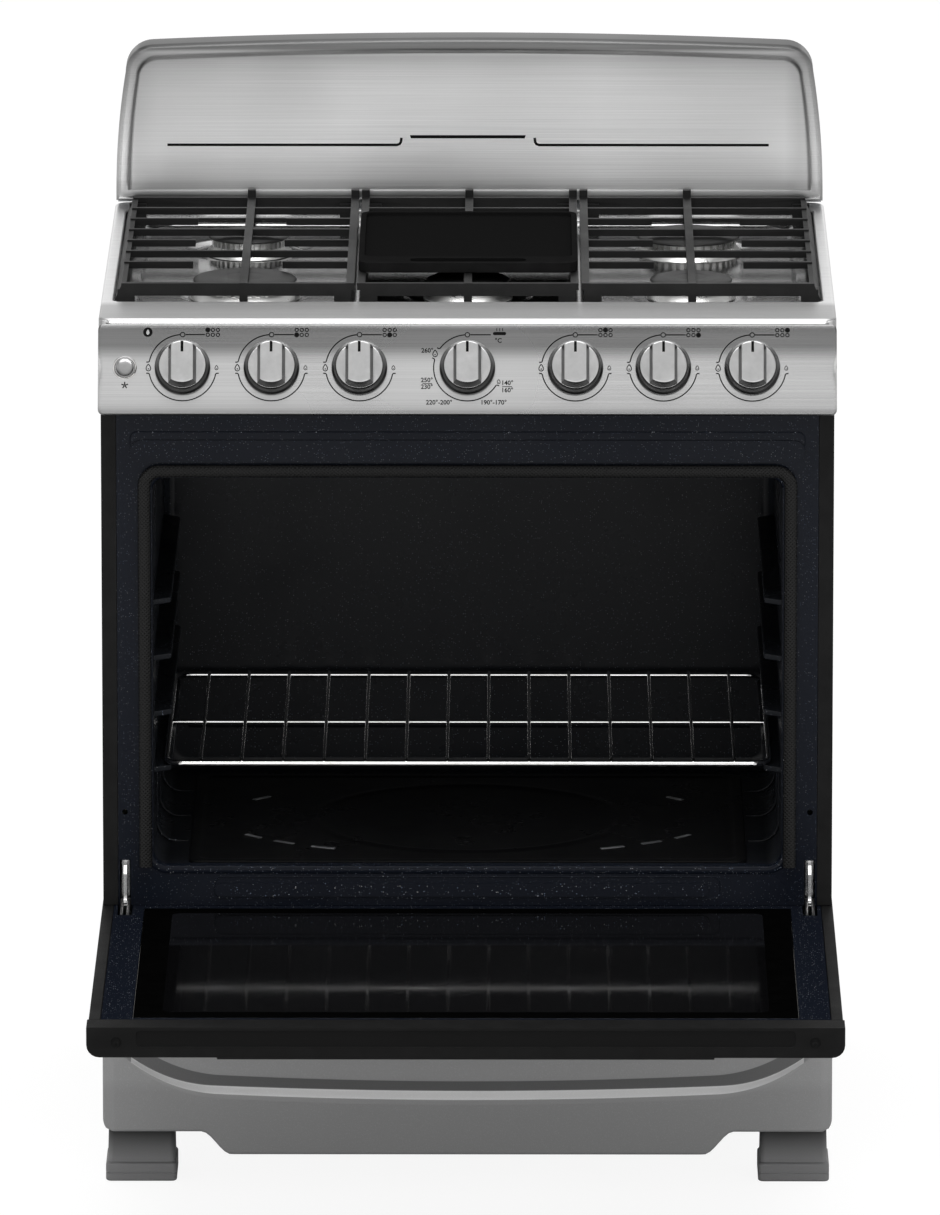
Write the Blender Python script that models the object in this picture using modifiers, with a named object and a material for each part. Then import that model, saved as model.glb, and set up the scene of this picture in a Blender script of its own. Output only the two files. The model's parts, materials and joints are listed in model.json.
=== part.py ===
"""Freestanding six-burner gas range, oven door open at rest.

Metres, +Z up, front towards -Y. Every piece is laid out in the cabinet's own frame (floor at
z = 0, front plane of the cabinet at y = 0) and the whole range is then moved along Y once, so
that the origin is under the middle of the box that holds it.
"""

from math import cos, pi, radians, sin

import bmesh
import bpy
from mathutils import Matrix, Vector

# ---------------------------------------------------------------- driving dimensions
WIDTH = 0.756
DEPTH = 0.640
TOP_HEIGHT = 0.915
DOOR_HEIGHT = 0.560
PANEL_HEIGHT = 0.089
BACK_HEIGHT = 0.177
OVEN_DEPTH = 0.470
HALF = WIDTH / 2
SHEET = 0.001
GAP = 0.0003

# Feet and the body's lower edge.
FOOT_HEIGHT = 0.052
FOOT_WIDTH = 0.074
FOOT_DEPTH = 0.070
TOE_HEIGHT = 0.0226
BODY_BOTTOM = FOOT_HEIGHT + 0.0025

# Cooktop, grates and burners.
RIM_TOP = TOP_HEIGHT
TOP_HALF = HALF + 0.0017
TOP_BOTTOM = RIM_TOP - 0.030
BODY_TOP = TOP_BOTTOM - 0.001
WELL = RIM_TOP - 0.010
WELL_FRONT = 0.087
WELL_BACK = DEPTH - 0.046
GRATE_TOP = WELL + 0.025
GRATE_FRONT = WELL_FRONT + 0.022
GRATE_BACK = WELL_BACK - 0.001
GRATE_OUTER = HALF - 0.0118
CENTRE_HALF = WIDTH * 0.1520
BAR = 0.0085
FINGER = 0.0060
BURNER_X = WIDTH * 0.3075
FRONT_ROW = GRATE_FRONT + 0.1736 * (GRATE_BACK - GRATE_FRONT)
REAR_ROW = GRATE_FRONT + 0.6715 * (GRATE_BACK - GRATE_FRONT)

# Sloping fascia and what stands on it.
PANEL_TOP = RIM_TOP - 0.005
PANEL_BOTTOM = PANEL_TOP - PANEL_HEIGHT
PANEL_OUT = 0.045
PANEL_LIP = 0.009
PANEL_FOOT = PANEL_BOTTOM + 0.004
PANEL_SLOPE = (PANEL_OUT - PANEL_LIP) / (PANEL_TOP - PANEL_FOOT)
KNOB_AT = PANEL_BOTTOM + 0.047
KNOB_RADIUS = 0.0284
KNOB_HEIGHT = 0.027
BUTTON_RADIUS = 0.0096

# Oven door, hung on a hinge line just above its lower edge.
DOOR_TOP = PANEL_BOTTOM - 0.008
DOOR_BOTTOM = DOOR_TOP - DOOR_HEIGHT
DOOR_HALF = HALF + 0.001
DOOR_INNER = -0.010
DOOR_OUTER = -0.041
PIVOT_Y = -0.005
PIVOT_Z = DOOR_BOTTOM + 0.045
HINGE_X = HALF - 0.0230
TRIM_WIDTH = 0.012
TRIM_HEIGHT = 0.034

# Front frame, its mouth and the oven behind it.
FLANGE = 0.0155
FRAME_BOTTOM = PIVOT_Z - 0.0045
POCKET_DEPTH = 0.046
OPENING_HALF = HALF - 0.0525
OPENING_BOTTOM = FRAME_BOTTOM + 0.0419
OPENING_TOP = PANEL_BOTTOM - 0.0743
RIB_REACH = 0.0185
RIB_HEIGHTS = [OPENING_BOTTOM + share * (OPENING_TOP - OPENING_BOTTOM) for share in (0.2324, 0.3771, 0.5205, 0.6652)]
PANE_HALF = OPENING_HALF + 0.0095
PANE_LOW = PIVOT_Z + 0.008
PANE_HIGH = DOOR_TOP - TRIM_HEIGHT - 0.006

# Backguard.
BACK_BOTTOM = RIM_TOP + 0.008
BACK_TOP = BACK_BOTTOM + BACK_HEIGHT
BACK_FRONT = DEPTH - 0.040
BACK_ARCH = 0.0075
BACK_TAPER = 0.018
BACK_CORNER = 0.030

# Drawer under the oven.
DRAWER_FACE = -0.030
DRAWER_TOP = PIVOT_Z - 0.0615
DRAWER_SKIRT = FOOT_HEIGHT - 0.0185
DRAWER_RAIL = DRAWER_TOP - 0.0405
DRAWER_DEPTH = DEPTH - 0.220
GROOVE_Z = BODY_BOTTOM + 0.0527

MIDDLE_Y = (DEPTH + PIVOT_Y - (DOOR_TOP - PIVOT_Z)) / 2


# ---------------------------------------------------------------- scene and materials
def clear_scene():
    for obj in list(bpy.data.objects):
        bpy.data.objects.remove(obj, do_unlink=True)
    for group in list(bpy.data.collections):
        bpy.data.collections.remove(group)


def collection(name, parent=None):
    made = bpy.data.collections.new(name)
    (parent or bpy.context.scene.collection).children.link(made)
    return made


def material(name, colour, roughness, metallic=0.0):
    made = bpy.data.materials.new(name)
    made.use_nodes = True
    made.diffuse_color = (*colour, 1.0)
    shader = made.node_tree.nodes["Principled BSDF"]
    shader.inputs["Base Color"].default_value = (*colour, 1.0)
    shader.inputs["Roughness"].default_value = roughness
    shader.inputs["Metallic"].default_value = metallic
    return made


# ---------------------------------------------------------------- making shapes
def evaluated(obj):
    """A copy of the mesh that the object's modifiers or curve settings make."""
    bpy.context.view_layer.update()
    return bpy.data.meshes.new_from_object(obj.evaluated_get(bpy.context.evaluated_depsgraph_get()))


def bake(obj):
    """Writes the modifiers into the mesh, so that it can be turned and moved as one shape."""
    done = evaluated(obj)
    obj.modifiers.clear()
    obj.data = done
    return obj


def solid(mesh, name, look):
    """Turns a bmesh into a named part with outward normals."""
    bmesh.ops.recalc_face_normals(mesh, faces=mesh.faces)
    data = bpy.data.meshes.new(name)
    mesh.to_mesh(data)
    mesh.free()
    obj = bpy.data.objects.new(name, data)
    data.materials.append(look)
    PARTS.objects.link(obj)
    return obj


def box(name, x, y, z, look):
    mesh = bmesh.new()
    bmesh.ops.create_cube(mesh, size=1.0)
    size = Vector((x[1] - x[0], y[1] - y[0], z[1] - z[0]))
    middle = Vector((x[0] + x[1], y[0] + y[1], z[0] + z[1])) / 2
    bmesh.ops.transform(mesh, matrix=Matrix.LocRotScale(middle, None, size), verts=mesh.verts)
    return solid(mesh, name, look)


def from_curve(name, curve, path, closed):
    """The closed mesh that a curve through these points makes."""
    line = curve.splines.new("POLY")
    line.points.add(len(path) - 1)
    for point, place in zip(line.points, path):
        point.co = (*place, 1.0)
    line.use_cyclic_u = closed
    guide = bpy.data.objects.new(name + "_guide", curve)
    PARTS.objects.link(guide)
    mesh = bmesh.new()
    mesh.from_mesh(evaluated(guide))
    bpy.data.objects.remove(guide, do_unlink=True)
    bmesh.ops.remove_doubles(mesh, verts=mesh.verts, dist=0.00001)
    return mesh


def prism(name, outline, span, axis, look):
    """A flat outline in the plane across one axis, extruded along that axis from span[0] to span[1]."""
    curve = bpy.data.curves.new(name, "CURVE")
    curve.dimensions = "2D"
    curve.fill_mode = "BOTH"
    curve.extrude = (span[1] - span[0]) / 2
    mesh = from_curve(name, curve, [(a, b, 0) for a, b in outline], True)
    along = (span[0] + span[1]) / 2
    place = {
        "X": Matrix(((0, 0, 1, along), (1, 0, 0, 0), (0, 1, 0, 0), (0, 0, 0, 1))),
        "Y": Matrix(((1, 0, 0, 0), (0, 0, 1, along), (0, 1, 0, 0), (0, 0, 0, 1))),
        "Z": Matrix.Translation((0, 0, along)),
    }[axis]
    bmesh.ops.transform(mesh, matrix=place, verts=mesh.verts)
    return solid(mesh, name, look)


def lathe(name, profile, steps, look):
    """A (radius, height) profile that starts and ends on the axis, turned about Z by a Screw."""
    mesh = bmesh.new()
    points = [mesh.verts.new((radius, 0, height)) for radius, height in reversed(profile)]
    for pair in zip(points, points[1:]):
        mesh.edges.new(pair)
    obj = solid(mesh, name, look)
    turn = obj.modifiers.new("Turn", "SCREW")
    turn.steps = turn.render_steps = steps
    turn.use_merge_vertices = True
    turn.merge_threshold = 0.00001
    return bake(obj)


def rod(name, start, end, radius, look, steps=16):
    """A round bar between two points."""
    start, end = Vector(start), Vector(end)
    run = end - start
    turn = run.to_track_quat("Z", "Y").to_matrix().to_4x4()
    mesh = bmesh.new()
    bmesh.ops.create_cone(
        mesh, cap_ends=True, segments=steps, radius1=radius, radius2=radius, depth=run.length,
        matrix=Matrix.Translation((start + end) / 2) @ turn,
    )
    return solid(mesh, name, look)


def wire(name, path, radius, look, sides=2, closed=False):
    """A round wire along a path."""
    curve = bpy.data.curves.new(name, "CURVE")
    curve.dimensions = "3D"
    curve.bevel_depth = radius
    curve.bevel_resolution = sides
    curve.use_fill_caps = not closed
    return solid(from_curve(name, curve, path, closed), name, look)


def arc(centre, radius, start, end, steps):
    """Points on an arc, angles in degrees."""
    return [
        (
            centre[0] + radius * cos(radians(start + (end - start) * step / steps)),
            centre[1] + radius * sin(radians(start + (end - start) * step / steps)),
        )
        for step in range(steps + 1)
    ]


def rounded(x, y, radius, steps=3):
    """A rectangle's outline with round corners."""
    corners = ((x[1], y[1], 0), (x[0], y[1], 90), (x[0], y[0], 180), (x[1], y[0], 270))
    outline = []
    for cx, cy, turn in corners:
        inset_x = cx - radius if cx == x[1] else cx + radius
        inset_y = cy - radius if cy == y[1] else cy + radius
        outline += arc((inset_x, inset_y), radius, turn, turn + 90, steps)
    return outline


# ---------------------------------------------------------------- combining shapes
def combine(obj, tools, operation):
    """One exact Boolean with every tool; the tools stay in the scene as wire helpers."""
    group = collection(f"{obj.name}_{operation.lower()}", CUTTERS)
    for tool in tools:
        PARTS.objects.unlink(tool)
        group.objects.link(tool)
        tool.hide_render = True
        tool.display_type = "WIRE"
    change = obj.modifiers.new(operation.title(), "BOOLEAN")
    change.operand_type = "COLLECTION"
    change.collection = group
    change.operation = operation
    change.solver = "EXACT"
    return bake(obj)


def add(obj, *tools):
    return combine(obj, tools, "UNION")


def cut(obj, *tools):
    return combine(obj, tools, "DIFFERENCE")


def soften(obj, width, segments=2, angle=35):
    edge = obj.modifiers.new("Edge", "BEVEL")
    edge.width = width
    edge.segments = segments
    edge.limit_method = "ANGLE"
    edge.angle_limit = radians(angle)
    return obj


def carry(obj, matrix, origin):
    """Moves the finished shape by a matrix and puts its origin on the given point."""
    if obj.modifiers:
        bake(obj)
    obj.data.transform(Matrix.Translation(-Vector(origin)) @ matrix)
    obj.location = Vector(origin)
    return obj


def opened(obj):
    """Swings a door piece from closed to the open rest position about the hinge line."""
    pivot = Vector((0, PIVOT_Y, PIVOT_Z))
    turn = Matrix.Translation(pivot) @ Matrix.Rotation(pi / 2, 4, "X") @ Matrix.Translation(-pivot)
    return carry(obj, turn, pivot)


# ---------------------------------------------------------------- cabinet
def side_panel(side, name):
    outer, inner = HALF, HALF - SHEET
    lip = HALF - FLANGE
    outline = [
        (lip, 0), (outer, 0), (outer, DEPTH), (lip, DEPTH),
        (lip, DEPTH - SHEET), (inner, DEPTH - SHEET), (inner, SHEET), (lip, SHEET),
    ]
    panel = prism(name, [(side * x, y) for x, y in outline], (BODY_BOTTOM, BODY_TOP), "Z", BLACK_STEEL)
    pocket = box(
        name + "_pocket", sorted((side * (lip - 0.01), side * (outer + 0.01))), (-0.01, POCKET_DEPTH),
        (BODY_BOTTOM - 0.01, FRAME_BOTTOM), CUTTER,
    )
    return cut(panel, pocket)


def rear_panel():
    inner = HALF - SHEET - GAP
    y = (DEPTH - 2 * SHEET - GAP, DEPTH - SHEET - GAP)
    panel = box("rear_panel", (-inner, inner), y, (BODY_BOTTOM + 0.002, BODY_TOP - GAP), GALVANISED)
    slots = [
        box(f"rear_louvre_{row}_{column}", (x - 0.045, x + 0.045), (y[0] - 0.01, y[1] + 0.01), (z - 0.003, z + 0.003), CUTTER)
        for row, z in enumerate(BODY_TOP - 0.06 - 0.022 * step for step in range(3))
        for column, x in enumerate((-WIDTH * 0.32, -WIDTH * 0.11, WIDTH * 0.11, WIDTH * 0.32))
    ]
    inlet = rod("rear_inlet_hole", (WIDTH * 0.37, y[0] - 0.01, BODY_TOP - 0.084), (WIDTH * 0.37, y[1] + 0.01, BODY_TOP - 0.084), 0.014, CUTTER)
    return cut(panel, inlet, *slots)


def base_frame():
    """The floor of the drawer bay: a tray with turned-up edges."""
    inner = HALF - SHEET - GAP
    y = (POCKET_DEPTH + 0.002, DEPTH - 2 * SHEET - 2 * GAP)
    z = BODY_BOTTOM - 0.0016
    tray = box("base_frame", (-inner, inner), y, (z, z + 0.022), GALVANISED)
    well = box("base_frame_well", (-inner + SHEET, inner - SHEET), (y[0] + SHEET, y[1] - SHEET), (z + SHEET, z + 0.03), CUTTER)
    holes = [
        prism(f"base_frame_window_{side}", rounded((side * WIDTH * 0.225 - 0.10, side * WIDTH * 0.225 + 0.10), (DEPTH * 0.25, DEPTH * 0.78), 0.03),
              (z - 0.01, z + 0.01), "Z", CUTTER)
        for side in (-1, 1)
    ]
    return cut(tray, well, *holes)


def foot(side, name, front):
    """A moulded foot: a square post, a wider toe with a ledge round it."""
    inside, outside = HALF - 0.0013 - FOOT_WIDTH, HALF - 0.0013
    x = sorted((side * inside, side * outside))
    y = (front, front + FOOT_DEPTH) if front < DEPTH / 2 else (front - FOOT_DEPTH, front)
    toe = prism(name, rounded(x, y, 0.004), (0, TOE_HEIGHT), "Z", PLASTIC_GREY)
    ahead = 0.010 if front < DEPTH / 2 else 0.002
    post = prism(name + "_post", rounded((x[0] + 0.0015, x[1] - 0.0015), (y[0] + ahead, y[1] - 0.002), 0.003),
                 (TOE_HEIGHT - 0.004, FOOT_HEIGHT), "Z", CUTTER)
    return add(toe, post)


def front_frame():
    """The enamelled face of the oven: mouth, hinge slots, and the pressed bead above and rib below."""
    edge = HALF - FLANGE - GAP
    frame = box("front_frame", (-edge, edge), (0, 0.0012), (FRAME_BOTTOM, PANEL_BOTTOM - 0.001), ENAMEL)
    lips = box("front_frame_lips", (-edge, edge), (0.0006, 0.012), (FRAME_BOTTOM, PANEL_BOTTOM - 0.001), CUTTER)
    hollow = box("front_frame_hollow", (-edge + SHEET, edge - SHEET), (0.0012, 0.02),
                 (FRAME_BOTTOM + SHEET, PANEL_BOTTOM - 0.002), CUTTER)
    mouth = box("front_frame_mouth", (-OPENING_HALF, OPENING_HALF), (-0.01, 0.03), (OPENING_BOTTOM, OPENING_TOP), CUTTER)
    bead = prism("front_frame_bead", rounded((-edge + 0.014, edge - 0.014), (PANEL_BOTTOM - 0.0577, PANEL_BOTTOM - 0.0345), 0.0115), (-0.0018, 0.0006), "Y", CUTTER)
    rib = prism("front_frame_rib", rounded((-edge + 0.100, edge - 0.112), (FRAME_BOTTOM + 0.0100, FRAME_BOTTOM + 0.0238), 0.006), (-0.0024, 0.0006), "Y", CUTTER)
    slots = [
        box(f"front_frame_slot_{side}", (side * HINGE_X - 0.0056, side * HINGE_X + 0.0056), (-0.01, 0.03), (FRAME_BOTTOM - 0.01, FRAME_BOTTOM + 0.048), CUTTER)
        for side in (-1, 1)
    ]
    holes = [
        rod(f"front_frame_hole_{side}", (side * HINGE_X, -0.01, FRAME_BOTTOM + 0.0992), (side * HINGE_X, 0.02, FRAME_BOTTOM + 0.0992), 0.003, CUTTER, 10)
        for side in (-1, 1)
    ]
    add(cut(add(frame, lips), hollow), bead, rib)
    return cut(frame, mouth, *slots, *holes)


def oven_liner():
    """The oven box, open at the front, with four rack ribs pressed into each side."""
    x, y, z = OPENING_HALF, (0.0125, OVEN_DEPTH), (OPENING_BOTTOM - 0.0045, OPENING_TOP)
    shell = box("oven_liner", (-x - SHEET, x + SHEET), (y[0], y[1] + SHEET), (z[0] - SHEET, z[1] + SHEET), ENAMEL)
    inside = box("oven_liner_inside", (-x, x), (y[0] - 0.01, y[1]), z, CUTTER)
    vent = box("oven_liner_burner_hole", (-0.10, 0.10), (0.10, OVEN_DEPTH - 0.090), (z[0] - 0.01, z[0] + 0.001), CUTTER)
    ribs = [
        box(f"oven_liner_rib_{side}_{step}", sorted((side * (x - RIB_REACH), side * (x + SHEET / 2))),
            (y[0] + 0.014, y[1] - 0.014), (height - 0.0028, height + 0.0028), CUTTER)
        for side in (-1, 1)
        for step, height in enumerate(RIB_HEIGHTS)
    ]
    return add(cut(shell, inside, vent), *ribs)


def oven_floor():
    """The loose plate over the burner, with slots near its side edges."""
    bottom, side, middle = OPENING_BOTTOM - 0.0045 + GAP, OPENING_HALF - 0.0355, OVEN_DEPTH / 2 - 0.010
    plate = prism("oven_floor", rounded((-side, side), (0.024, OVEN_DEPTH - 0.046), 0.012), (bottom, bottom + 0.0022), "Z", BLACK_ENAMEL)
    dome = lathe("oven_floor_ring", [(0, 0), (0.150, 0), (0.146, 0.0026), (0, 0.0026)], 24, CUTTER)
    dome.data.transform(Matrix.Translation((0, middle, bottom + 0.0015)))
    slots = [
        prism(f"oven_floor_slot_{column}_{step}",
              rounded((at - 0.004, at + 0.004), (middle + y - 0.020, middle + y + 0.020), 0.0038, 2),
              (bottom - 0.01, bottom + 0.01), "Z", CUTTER)
        for column, at in enumerate((-side + 0.032, side - 0.032))
        for step, y in enumerate(OVEN_DEPTH * share for share in (-0.32, -0.16, 0, 0.16, 0.32))
    ]
    return cut(add(plate, dome), *slots)


def oven_burner():
    """The burner tube and its tray, hung under the oven box."""
    top = OPENING_BOTTOM - 0.0045 - SHEET - GAP
    back = OVEN_DEPTH - 0.074
    tray = box("oven_burner", (-0.115, 0.115), (0.088, back), (top - 0.058, top), GALVANISED)
    well = box("oven_burner_well", (-0.114, 0.114), (0.089, back - SHEET), (top - 0.057, top + 0.01), CUTTER)
    legs = [
        rod(f"oven_burner_tube_{side}", (side * 0.060, 0.0885, top - 0.022), (side * 0.060, back - SHEET / 2, top - 0.022), 0.011, CUTTER)
        for side in (-1, 1)
    ]
    bridge = rod("oven_burner_bridge", (-0.062, back - 0.026, top - 0.022), (0.062, back - 0.026, top - 0.022), 0.009, CUTTER)
    return add(cut(tray, well), bridge, *legs)


def oven_gasket():
    """The rope seal round the mouth: both sides and the top."""
    inner, outer = OPENING_HALF + 0.0006, OPENING_HALF + 0.0150
    top = OPENING_TOP + 0.0006
    outline = [(-outer, OPENING_BOTTOM)] + arc((-outer + 0.012, top + 0.0144 - 0.012), 0.012, 180, 90, 5)
    outline += arc((outer - 0.012, top + 0.0144 - 0.012), 0.012, 90, 0, 5) + [(outer, OPENING_BOTTOM)]
    outline += [(inner, OPENING_BOTTOM), (inner, top), (-inner, top), (-inner, OPENING_BOTTOM)]
    return soften(prism("oven_gasket", outline, (DOOR_INNER + 0.0007, -GAP), "Y", RUBBER), 0.0025, 1)


def oven_insulation():
    """Wool over the top and both sides of the oven box."""
    inner, outer = OPENING_HALF + SHEET + GAP, HALF - SHEET - GAP
    floor, ceiling = OPENING_BOTTOM + 0.0080, OPENING_TOP + SHEET + GAP
    outline = [(-outer, floor), (-outer, ceiling + 0.032), (outer, ceiling + 0.032), (outer, floor)]
    outline += [(inner, floor), (inner, ceiling), (-inner, ceiling), (-inner, floor)]
    return prism("oven_insulation", outline, (0.060, OVEN_DEPTH), "Y", WOOL)


# ---------------------------------------------------------------- cooktop
def cooktop():
    """The pressed top: a rim all round, a sunk well, a skirt turned down and six burner holes."""
    front = -PANEL_LIP + 0.003
    top = prism("cooktop", rounded((-TOP_HALF, TOP_HALF), (front, DEPTH), 0.008), (TOP_BOTTOM, RIM_TOP), "Z", STEEL)
    soften(top, 0.003, 1)
    well = box("cooktop_well", (-GRATE_OUTER - 0.0005, GRATE_OUTER + 0.0005), (WELL_FRONT, WELL_BACK), (WELL, RIM_TOP + 0.01), CUTTER)
    skirt = SHEET + 0.0002
    under = box("cooktop_under", (-TOP_HALF + skirt, TOP_HALF - skirt), (front + skirt, DEPTH - skirt), (TOP_BOTTOM - 0.01, WELL - 0.002), CUTTER)
    rim = box("cooktop_under_rim", (-TOP_HALF + 0.004, TOP_HALF - 0.004), (front + 0.004, WELL_FRONT - 0.002), (WELL - 0.004, RIM_TOP - 0.0015), CUTTER)
    holes = [
        rod(f"cooktop_hole_{row}_{column}", (x, y, WELL - 0.03), (x, y, WELL + 0.03), radius * 0.5 + 0.002, CUTTER, 16)
        for row, column, x, y, radius in BURNERS
    ]
    return cut(cut(cut(top, well, under), rim), *holes)


def burner(row, column, x, y, radius):
    seat = WELL + GAP
    throat = radius * 0.5
    head = lathe(
        f"burner_head_{row}_{column}",
        [(0, seat - 0.020), (throat - 0.004, seat - 0.020), (throat, seat - 0.016), (throat, seat),
         (radius, seat), (radius, seat + 0.0035), (radius - 0.004, seat + 0.0045), (radius - 0.004, seat + 0.0100), (0, seat + 0.0100)],
        20, ALUMINIUM,
    )
    carry(head, Matrix.Translation((x, y, 0)), (x, y, seat))
    low = seat + 0.0100 + GAP
    cap = lathe(
        f"burner_cap_{row}_{column}",
        [(0, low), (radius + 0.0015, low), (radius + 0.0030, low + 0.0012), (radius + 0.0020, low + 0.0036),
         (radius - 0.008, low + 0.0058), (radius * 0.5, low + 0.0052), (0, low + 0.0052)],
        22, CAST_IRON,
    )
    return head, carry(cap, Matrix.Translation((x, y, 0)), (x, y, low))


def grate(name, x, outer_side, shelf=()):
    """A cast grate: two rails, a middle bar, full bars, short fingers, corner legs and low ties."""
    low, feet = GRATE_TOP - 0.0075, WELL + GAP
    y = (GRATE_FRONT, GRATE_BACK)
    rails = [edge for edge in (x[0] + BAR / 2, x[1] - BAR / 2)]
    middle = (x[0] + x[1]) / 2 if not outer_side else outer_side * BURNER_X
    body = box(name, (middle - BAR / 2, middle + BAR / 2), y, (low, GRATE_TOP), CAST_IRON)
    pieces = []

    def bar(label, bx, by, bz):
        pieces.append(box(f"{name}_{label}", sorted(bx), by, bz, CUTTER))

    for index, edge in enumerate(rails):
        if outer_side and (edge > 0) == (outer_side > 0) and abs(edge) > BURNER_X:
            flare = [(edge + outer_side * BAR / 2, low - 0.011), (edge - outer_side * 0.001, low - 0.011),
                     (edge - outer_side * 0.008, GRATE_TOP - 0.002), (edge - outer_side * 0.003, GRATE_TOP - 0.002)]
            pieces.append(prism(f"{name}_side", flare, y, "Y", CUTTER))
        else:
            bar(f"rail_{index}", (edge - BAR / 2, edge + BAR / 2), y, (low, GRATE_TOP))
            bar(f"post_{index}", (edge - BAR / 2, edge + BAR / 2), (y[1] - BAR, y[1]), (low, GRATE_TOP + 0.008))
    bar("middle_post", (middle - BAR / 2, middle + BAR / 2), (y[1] - BAR, y[1]), (low, GRATE_TOP + 0.008))
    ends = [x[0] + (0.007 if outer_side < 0 else BAR / 2), x[1] - (0.007 if outer_side > 0 else BAR / 2)]
    bar("front", ends, (y[0], y[0] + 0.007), (GRATE_TOP - 0.0135, GRATE_TOP - 0.0003))
    bar("back", ends, (y[1] - 0.008, y[1]), (GRATE_TOP - 0.011, GRATE_TOP - 0.0003))
    pitch = (y[1] - y[0] - 0.004) / 8
    for step in range(1, 7):
        at = y[1] - 0.004 - pitch * step
        across = (at - FINGER / 2, at + FINGER / 2)
        if step in (1, 3, 5):
            bar(f"bar_{step}", ends, across, (low, GRATE_TOP - 0.0003))
        else:
            bar(f"finger_{step}_a", (ends[0], ends[0] + 0.072), across, (low, GRATE_TOP - 0.0003))
            bar(f"finger_{step}_b", (ends[1] - 0.072, ends[1]), across, (low, GRATE_TOP - 0.0003))
    for row, (leg_low, leg_high) in enumerate(((y[0], y[0] + 0.012), (y[1] - 0.012, y[1]))):
        for column, at in enumerate((x[0] + 0.003, x[1] - 0.021)):
            bar(f"leg_{row}_{column}", (at, at + 0.018), (leg_low, leg_high), (feet, low + 0.001))
        bar(f"tie_{row}", (x[0] + 0.003, x[1] - 0.003), (leg_low + 0.001, leg_low + 0.005), (feet, feet + 0.0026))
        bar(f"middle_leg_{row}", (middle - BAR / 2, middle + BAR / 2), (leg_low, leg_low + 0.008), (feet, low + 0.001))
    return carry(add(body, *pieces), Matrix.Identity(4), ((x[0] + x[1]) / 2, (y[0] + y[1]) / 2, GRATE_TOP))


def griddle():
    """A flat plate with a raised edge and a trough along its front."""
    half = CENTRE_HALF - 0.001
    y, z = (GRATE_FRONT + 0.054, GRATE_BACK - 0.144), (GRATE_TOP + GAP, GRATE_TOP + 0.0115)
    plate = prism("griddle", rounded((-half, half), y, 0.014), z, "Z", CAST_IRON)
    pan = prism("griddle_pan", rounded((-half + 0.006, half - 0.006), (y[0] + 0.034, y[1] - 0.006), 0.009), (z[0] + 0.0065, z[1] + 0.01), "Z", CUTTER)
    trough = prism("griddle_trough", rounded((-0.060, 0.060), (y[0] + 0.006, y[0] + 0.026), 0.008), (z[0] + 0.005, z[1] + 0.01), "Z", CUTTER)
    return carry(cut(plate, pan, trough), Matrix.Identity(4), (0, (y[0] + y[1]) / 2, z[0]))


# ---------------------------------------------------------------- controls
def on_panel(height):
    """A point on the sloping face at a height, and the turn from +Z to the face's outward normal."""
    y = -PANEL_OUT + PANEL_SLOPE * (height - PANEL_FOOT)
    normal = Vector((0, -1, PANEL_SLOPE)).normalized()
    return y, Vector((0, 0, 1)).rotation_difference(normal).to_matrix().to_4x4()


def facing(obj, x, height, out=0.0):
    """Stands a piece that was made along +Z on the sloping face."""
    y, turn = on_panel(height)
    origin = Vector((x, y, height)) + turn @ Vector((0, 0, out))
    return carry(obj, Matrix.Translation(origin) @ turn, origin)


def control_panel():
    """The sloping fascia with its turned-back edges, closed ends, and holes for stems and button."""
    back = -PANEL_LIP + 0.0024
    outline = [(back, TOP_BOTTOM - GAP), (back, PANEL_TOP), (-PANEL_LIP, PANEL_TOP), (-PANEL_OUT, PANEL_FOOT),
               (-PANEL_OUT + 0.002, PANEL_BOTTOM), (-0.0006, PANEL_BOTTOM), (-0.0006, TOP_BOTTOM - GAP)]
    panel = prism("control_panel", outline, (-TOP_HALF, TOP_HALF), "X", STEEL)
    wall, low, high = 0.0014, PANEL_FOOT + 0.003, TOP_BOTTOM - 0.004
    inside = [(0.01, PANEL_BOTTOM + wall), (-PANEL_OUT + 0.0034, PANEL_BOTTOM + wall), (on_panel(low)[0] + wall * 1.15, low),
              (on_panel(high)[0] + wall * 1.15, high), (0.01, high)]
    hollow = prism("control_panel_hollow", inside, (-TOP_HALF + wall, TOP_HALF - wall), "X", CUTTER)
    holes = []
    for index, x in enumerate(KNOBS):
        hole = lathe(f"control_panel_hole_{index}", [(0, -0.02), (0.0065, -0.02), (0.0065, 0.02), (0, 0.02)], 12, CUTTER)
        holes.append(facing(hole, x, KNOB_AT))
    button = lathe("control_panel_button_hole", [(0, -0.02), (BUTTON_RADIUS + 0.0006, -0.02), (BUTTON_RADIUS + 0.0006, 0.02), (0, 0.02)], 20, CUTTER)
    holes.append(facing(button, BUTTON_X, KNOB_AT))
    bezel = lathe("control_panel_bezel", [(0, -0.0005), (BUTTON_RADIUS + 0.0024, -0.0005), (BUTTON_RADIUS + 0.0024, 0.0010),
                                          (BUTTON_RADIUS + 0.0016, 0.0018), (0, 0.0018)], 20, CUTTER)
    facing(bezel, BUTTON_X, KNOB_AT)
    return cut(add(cut(panel, hollow), bezel), *holes)


def knob(name, x):
    """A turned skirt and face with a grip bar across it and a bore for the stem."""
    body = lathe(
        name,
        [(0, 0.0012), (KNOB_RADIUS, 0.0012), (KNOB_RADIUS, 0.0034), (KNOB_RADIUS - 0.0036, 0.0050),
         (KNOB_RADIUS - 0.0044, 0.0130), (KNOB_RADIUS - 0.0056, 0.0142), (0, 0.0142)],
        24, KNOB_METAL,
    )
    grip = prism(name + "_grip", rounded((-0.0112, 0.0112), (-0.0224, 0.0224), 0.0050, 2), (0.010, KNOB_HEIGHT), "Z", CUTTER)
    bore = lathe(name + "_bore", [(0, -0.01), (0.0044, -0.01), (0.0044, 0.0120), (0, 0.0120)], 12, CUTTER)
    cut(add(body, grip), bore)
    return facing(body, x, KNOB_AT)


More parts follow.
